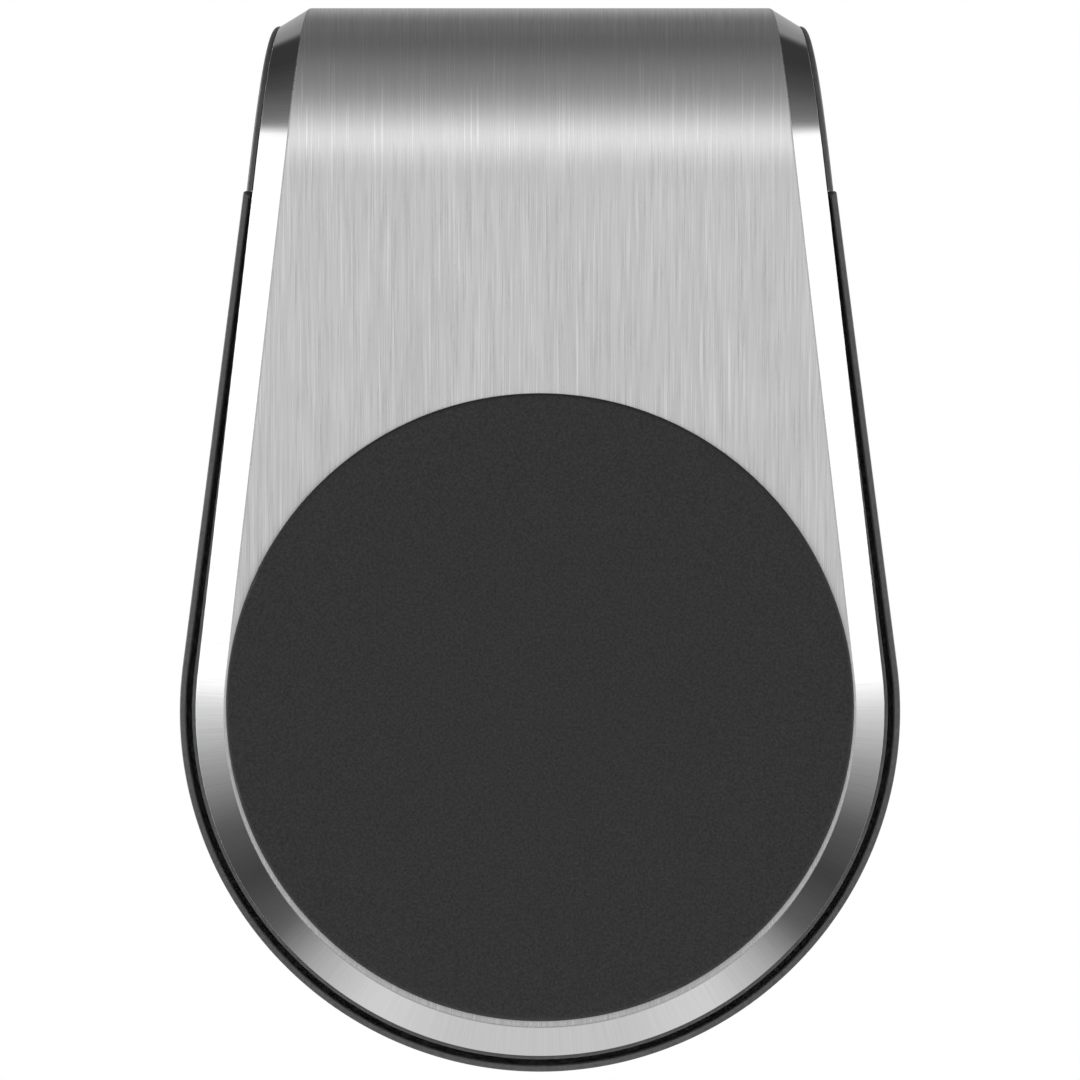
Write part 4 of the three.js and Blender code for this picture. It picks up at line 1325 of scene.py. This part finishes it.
def rounded_copy(node, name, width_mm):
    """A copy of a CAD node with its edges rounded."""
    source = frame["nodes"][node]
    bm = bmesh.new()
    bm.from_mesh(source.data)
    bmesh.ops.remove_doubles(bm, verts=bm.verts, dist=MERGE_WITHIN)
    bmesh.ops.dissolve_limit(
        bm, angle_limit=FLAT_WITHIN, verts=bm.verts, edges=bm.edges, delimit={"NORMAL"}
    )
    piece = finished(name, bm)
    piece.data.materials.clear()
    edge = piece.modifiers.new("edge", "BEVEL")
    edge.width = width_mm * MM
    edge.segments = 3
    edge.limit_method = "ANGLE"
    edge.angle_limit = SHARPER_THAN
    edge.use_clamp_overlap = True
    edge.miter_outer = "MITER_ARC"
    edge.material = 1
    for label in ("flat", "edge"):
        piece.data.materials.append(bpy.data.materials.new(label))
    apply_modifiers(piece)
    marked = piece.data.attributes.new("worn_edge", "FLOAT", "CORNER")
    for face in piece.data.polygons:
        for corner in face.loop_indices:
            marked.data[corner].value = float(face.material_index == 1)
        face.material_index = 0
    piece.data.materials.clear()
    piece.data.polygons.foreach_set("use_smooth", [True] * len(piece.data.polygons))
    return flat_faces(piece, 38)


for node, name, width, body, slot, look in (
    ("rear_frame", "rear_frame_moulding", 0.08, "mount_body", "black_plastic", FRAME_PLASTIC),
    ("hinge_bracket", "hinge_bracket_stamping", 0.1, "mount_body", "black_steel", BLACK_STEEL),
    ("clip_lever", "clip_lever_moulding", 0.22, "clip_jaw", "black_plastic", BLACK_PLASTIC),
    ("pin_ring", "pin_ring_clip", 0.06, "mount_body", "black_steel", BLACK_STEEL),
):
    dress(rounded_copy(node, name, width), body, slot, look, replaces=[node])

# %% [markdown]
# The hinge pin is turned from steel rod: a domed head on one side, a straight shank and a grooved,
# chamfered tip that holds the snap ring on the other. Its axis is the joint's own axis.

# %% Hinge pin
PIN_RADIUS = 1.0
GROOVE_RADIUS = 0.75
HEAD_RADIUS = 1.7
HEAD_HEIGHT = 0.7


def make_hinge_pin():
    low = drawn(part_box("hinge_pin")[0])[0]
    high = drawn(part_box("hinge_pin")[1])[0]
    head = low + HEAD_HEIGHT
    ring_low = drawn(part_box("pin_ring")[0])[0] - SLIP
    ring_high = drawn(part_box("pin_ring")[1])[0] + SLIP
    profile = [(0, low), (0.9, low + 0.02), (1.35, low + 0.12), (1.62, low + 0.3)]
    profile += [(HEAD_RADIUS, low + 0.48), (HEAD_RADIUS, head - 0.06), (HEAD_RADIUS - 0.06, head)]
    profile += [(PIN_RADIUS, head + 0.001), (PIN_RADIUS, ring_low)]
    profile += [(GROOVE_RADIUS, ring_low + 0.01), (GROOVE_RADIUS, ring_high - 0.01)]
    profile += [(PIN_RADIUS, ring_high), (PIN_RADIUS, high - 0.25), (0.97, high - 0.18)]
    profile += [(0.8, high), (0, high)]
    piece = turned(
        "hinge_pin_rod", profile, lambda a, b, x: place(x, PIVOT_Y + a, PIVOT_Z + b), 64
    )
    return flat_faces(piece, 30)


dress(make_hinge_pin(), "mount_body", "plated_steel", PLATED_STEEL, replaces=["hinge_pin"])

# %% [markdown]
# The double torsion spring. Two coils sit on the pin, their outer legs rest on the bracket's foot
# and a bridge between them pushes the jaw up. It is one length of hard wire, drawn here as two
# halves that meet in the middle.

# %% Torsion spring
SPRING_WIRE = 0.35
SPRING_COIL = 1.85
SPRING_OUTER = 6.2
SPRING_TURNS = 3.25
SPRING_PITCH = 0.82
SPRING_LEG = 5
SPRING_REACH = 6
POINTS_PER_TURN = 36
PATH_SPACING = 0.12
BRACKET_BACK = 6.15
JAW_UNDER = 31.39
SPRING_RISE = JAW_UNDER - 2 * SLIP - SPRING_WIRE - PIVOT_Z - SPRING_COIL


def smooth_path(points):
    """Centripetal curve through points, sampled at an even spacing."""
    ends = [2 * points[0] - points[1], *points, 2 * points[-1] - points[-2]]
    made = []
    for p0, p1, p2, p3 in zip(ends, ends[1:], ends[2:], ends[3:]):
        t1 = (p1 - p0).length ** 0.5
        t2 = t1 + (p2 - p1).length ** 0.5
        t3 = t2 + (p3 - p2).length ** 0.5
        count = max(int((p2 - p1).length / PATH_SPACING), 1)
        for i in range(count):
            t = t1 + (t2 - t1) * i / count
            a1 = p0 * ((t1 - t) / t1) + p1 * (t / t1)
            a2 = p1 * ((t2 - t) / (t2 - t1)) + p2 * ((t - t1) / (t2 - t1))
            a3 = p2 * ((t3 - t) / (t3 - t2)) + p3 * ((t - t2) / (t3 - t2))
            b1 = a1 * ((t2 - t) / t2) + a2 * (t / t2)
            b2 = a2 * ((t3 - t) / (t3 - t1)) + a3 * ((t - t1) / (t3 - t1))
            made.append(b1 * ((t2 - t) / (t2 - t1)) + b2 * ((t - t1) / (t2 - t1)))
    return made + [points[-1]]


def spring_half(side):
    """Points of one half of the spring, from its outer leg to the middle of the bridge."""
    def at(x, angle):
        y = PIVOT_Y + SPRING_COIL * math.cos(angle)
        return Vector((x, y, PIVOT_Z + SPRING_COIL * math.sin(angle)))

    lean = PIVOT_Y - SPRING_COIL - SPRING_WIRE - 2 * SLIP - BRACKET_BACK
    points = []
    for share in (1, 0.66, 0.33):
        points.append(at(-SPRING_OUTER, math.pi) - Vector((0, share * lean, share * SPRING_LEG)))
    for i in range(round(SPRING_TURNS * POINTS_PER_TURN) + 1):
        done = i / POINTS_PER_TURN
        points.append(at(-SPRING_OUTER + done * SPRING_PITCH, math.pi - done * 2 * math.pi))
    last = points[-1]
    for share in (0.25, 0.6, 0.92):
        points.append(last + Vector((0, share * SPRING_REACH, share * SPRING_RISE)))
    points.append(last + Vector((0.5, SPRING_REACH, SPRING_RISE)))
    points.append(Vector((0, last.y + SPRING_REACH, last.z + SPRING_RISE)))
    return [place(side * -point.x, point.y, point.z) for point in smooth_path(points)]


for side, name in ((-1, "left"), (1, "right")):
    half_spring = tube(f"torsion_spring_{name}", spring_half(side), SPRING_WIRE * MM, 14)
    half_spring.data.materials.append(WIRE_STEEL)
    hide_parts("torsion_spring")
    outer_x, inner_x = side * SPRING_OUTER, side * (SPRING_OUTER - SPRING_TURNS * SPRING_PITCH)
    place(outer_x, PIVOT_Y, PIVOT_Z)
    place(inner_x, PIVOT_Y, PIVOT_Z)
    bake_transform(half_spring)

# %% [markdown]
# The rest keeps its CAD shape: the magnets and their carrier, the yoke, the adhesive films, the
# standoffs and the screws. They are hidden or nearly so, and each one gets its real finish.

# %% Pieces that keep their CAD shape
KEPT_LOOKS = {
    "pad_adhesive": ADHESIVE,
    "frame_tape": ADHESIVE,
    "magnet_carrier": PALE_PLASTIC,
}
for node, piece in sorted(frame["nodes"].items()):
    if piece.hide_render:
        continue
    other = NICKEL if node.startswith("magnet") else PLATED_STEEL
    look = KEPT_LOOKS.get(node, other)
    piece.data.materials.clear()
    piece.data.materials.append(look)
    print("kept", node, look.name)

# %% [markdown]
# The studio. Polished metal only shows what stands round it, so the light is painted on the sky by
# direction. In front it is soft and dim, with a brighter band a little above the horizon. To both
# sides, where the bevel looks, a bright band lies between two dark ones. Behind, it is palest at
# the horizon and dims towards the top. Each sector is a ramp from straight down to straight up.

# %% Studio light
FRONT_LIGHT = [
    (-90, 0.6), (-64, 0.61), (-50, 0.55), (-20, 0.4), (-6, 0.4), (-1, 0.5), (1, 0.6), (3, 0.9),
    (5, 1.15), (8, 1.15), (11, 0.85), (16, 0.64), (26, 0.42), (36, 0.33), (46, 0.3), (67, 0.24),
    (90, 0.18),
]
SIDE_LIGHT = [
    (-90, 0.62), (-60, 0.69), (-51, 0.69), (-43, 0.45), (-36, 0.11), (-27, 0.05), (-18, 0.1),
    (-9, 0.33), (-4, 0.52), (0, 0.7), (2, 0.85), (4, 1.15), (13, 1.3), (15, 0.2), (20, 0.15),
    (32, 0.07), (45, 0.035), (60, 0.06), (90, 0.18),
]
BACK_LIGHT = [
    (-90, 0.4), (-20, 0.4), (0, 0.6), (6, 0.5), (14, 0.4), (26, 0.34), (38, 0.26), (50, 0.18),
    (60, 0.155), (90, 0.18),
]
BRIGHTEST = 2.0
SIDES_START = (25, 45)
BACK_STARTS = (131, 143)


def sector(tree, factor, stops):
    """A ramp over the elevation, in degrees, as a light level."""
    colour = ramp(tree, factor, [((angle + 90) / 180, level / BRIGHTEST) for angle, level in stops])
    return maths(tree, "MULTIPLY", colour, BRIGHTEST)


def mixed_levels(tree, factor, first, second):
    """Goes from one light level to another by a mask."""
    made = add(tree, "ShaderNodeMix", {"Factor": factor, 2: first, 3: second}, data_type="FLOAT")
    return made.outputs[0]


def studio_light():
    """The sky's light by direction. The camera itself sees plain white behind the mount."""
    world = bpy.data.worlds.new("studio")
    bpy.context.scene.world = world
    world.use_nodes = True
    tree = world.node_tree
    direction = tree.nodes.new("ShaderNodeTexCoord").outputs["Generated"]
    split = add(tree, "ShaderNodeSeparateXYZ", {0: direction}).outputs
    up = maths(tree, "ARCSINE", split[2])
    up = maths(tree, "ADD", maths(tree, "DIVIDE", up, math.pi), 0.5)
    towards = maths(tree, "MULTIPLY", split[1], -1.0)
    turn = maths(tree, "ABSOLUTE", maths(tree, "ARCTAN2", split[0], towards))

    def past(limits):
        start, end = map(math.radians, limits)
        return clipped(tree, turn, start, end, interpolation_type="SMOOTHSTEP")

    front, side, back = (sector(tree, up, stops) for stops in (FRONT_LIGHT, SIDE_LIGHT, BACK_LIGHT))
    light = mixed_levels(tree, past(SIDES_START), front, side)
    light = mixed_levels(tree, past(BACK_STARTS), light, back)
    seen = tree.nodes.new("ShaderNodeLightPath").outputs["Is Camera Ray"]
    light = mixed_levels(tree, seen, light, 1.0)
    tree.links.new(light, tree.nodes["Background"].inputs["Color"])


studio_light()

# %% [markdown]
# A plain pale floor lies well below, so that the mount hangs free as it does on a vent. The camera
# looks straight at the plate from the front with a long lens and everything in focus. Two fill
# panels lift the dark pieces, and two rim panels stand a little behind and show along their edges.

# %% Floor and camera
FLOOR_BELOW = 150
FLOOR_RADIUS = 5000
FLOOR_GLOW = 0.7


def make_floor():
    made, tree, shader, place_on = material("pale floor", Roughness=0.9, Emission_Strength=FLOOR_GLOW)
    cloud = add(tree, "ShaderNodeTexNoise", {"Vector": place_on, "Scale": 6.0, "Detail": 4.0})
    colour = ramp(tree, cloud.outputs["Fac"], [(0.3, 0.86), (0.7, 0.9)])
    tree.links.new(colour, shader.inputs["Base Color"])
    tree.links.new(colour, shader.inputs["Emission Color"])
    bm = bmesh.new()
    bmesh.ops.create_circle(bm, cap_ends=True, segments=128, radius=FLOOR_RADIUS * MM)
    floor = finished("studio_floor", bm)
    floor.location = (0, 0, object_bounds()[0][2] - FLOOR_BELOW * MM)
    floor.data.materials.append(made)
    floor.visible_glossy = False
    floor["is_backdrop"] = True


def soft_panel(name, location, size, power, mirrored=False):
    """A large soft panel aimed at the mount. Shiny surfaces show it only where mirrored is set."""
    data = bpy.data.lights.new(name, "AREA")
    data.shape = "DISK"
    data.size = size
    data.energy = power
    light = bpy.data.objects.new(name, data)
    bpy.context.scene.collection.objects.link(light)
    light.location = location
    aim = Vector((0, 0, CENTRE_Z)) - Vector(location)
    light.rotation_euler = aim.to_track_quat("-Z", "Y").to_euler()
    light.visible_glossy = mirrored
    light.visible_camera = False
    light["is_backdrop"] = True


make_floor()
soft_panel("fill_top", (0.3, -0.5, 0.9), 0.7, 1.2)
soft_panel("fill_back", (0.3, 0.8, 0.7), 0.7, 3.0)
soft_panel("rim_left", (-0.95, 0.34, 0.2), 0.6, 7.0, mirrored=True)
soft_panel("rim_right", (0.95, 0.34, 0.3), 0.6, 5.0, mirrored=True)

CAMERA_AWAY = 2400
PICTURE_WIDTH = 60.2
PICTURE_MIDDLE = 9.57
SENSOR_WIDTH = 36
camera_data = bpy.data.cameras.new("front")
camera_data.sensor_width = SENSOR_WIDTH
camera_data.lens = SENSOR_WIDTH * CAMERA_AWAY / PICTURE_WIDTH
camera = bpy.data.objects.new("front", camera_data)
bpy.context.scene.collection.objects.link(camera)
camera.location = place(0, -CAMERA_AWAY, PICTURE_MIDDLE)
camera.rotation_euler = (math.pi / 2, 0, 0)
bpy.context.scene.camera = camera
bpy.context.scene.view_settings.view_transform = "Standard"

# %% [markdown]
# Last, the sizes of the finished model and of the CAD box that was kept at the start are printed
# side by side.

SHOWN_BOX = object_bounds()
for label, box in (("CAD", CAD_BOX), ("shown", SHOWN_BOX)):
    print(label, [round((high - low) / MM, 2) for low, high in zip(*box)])
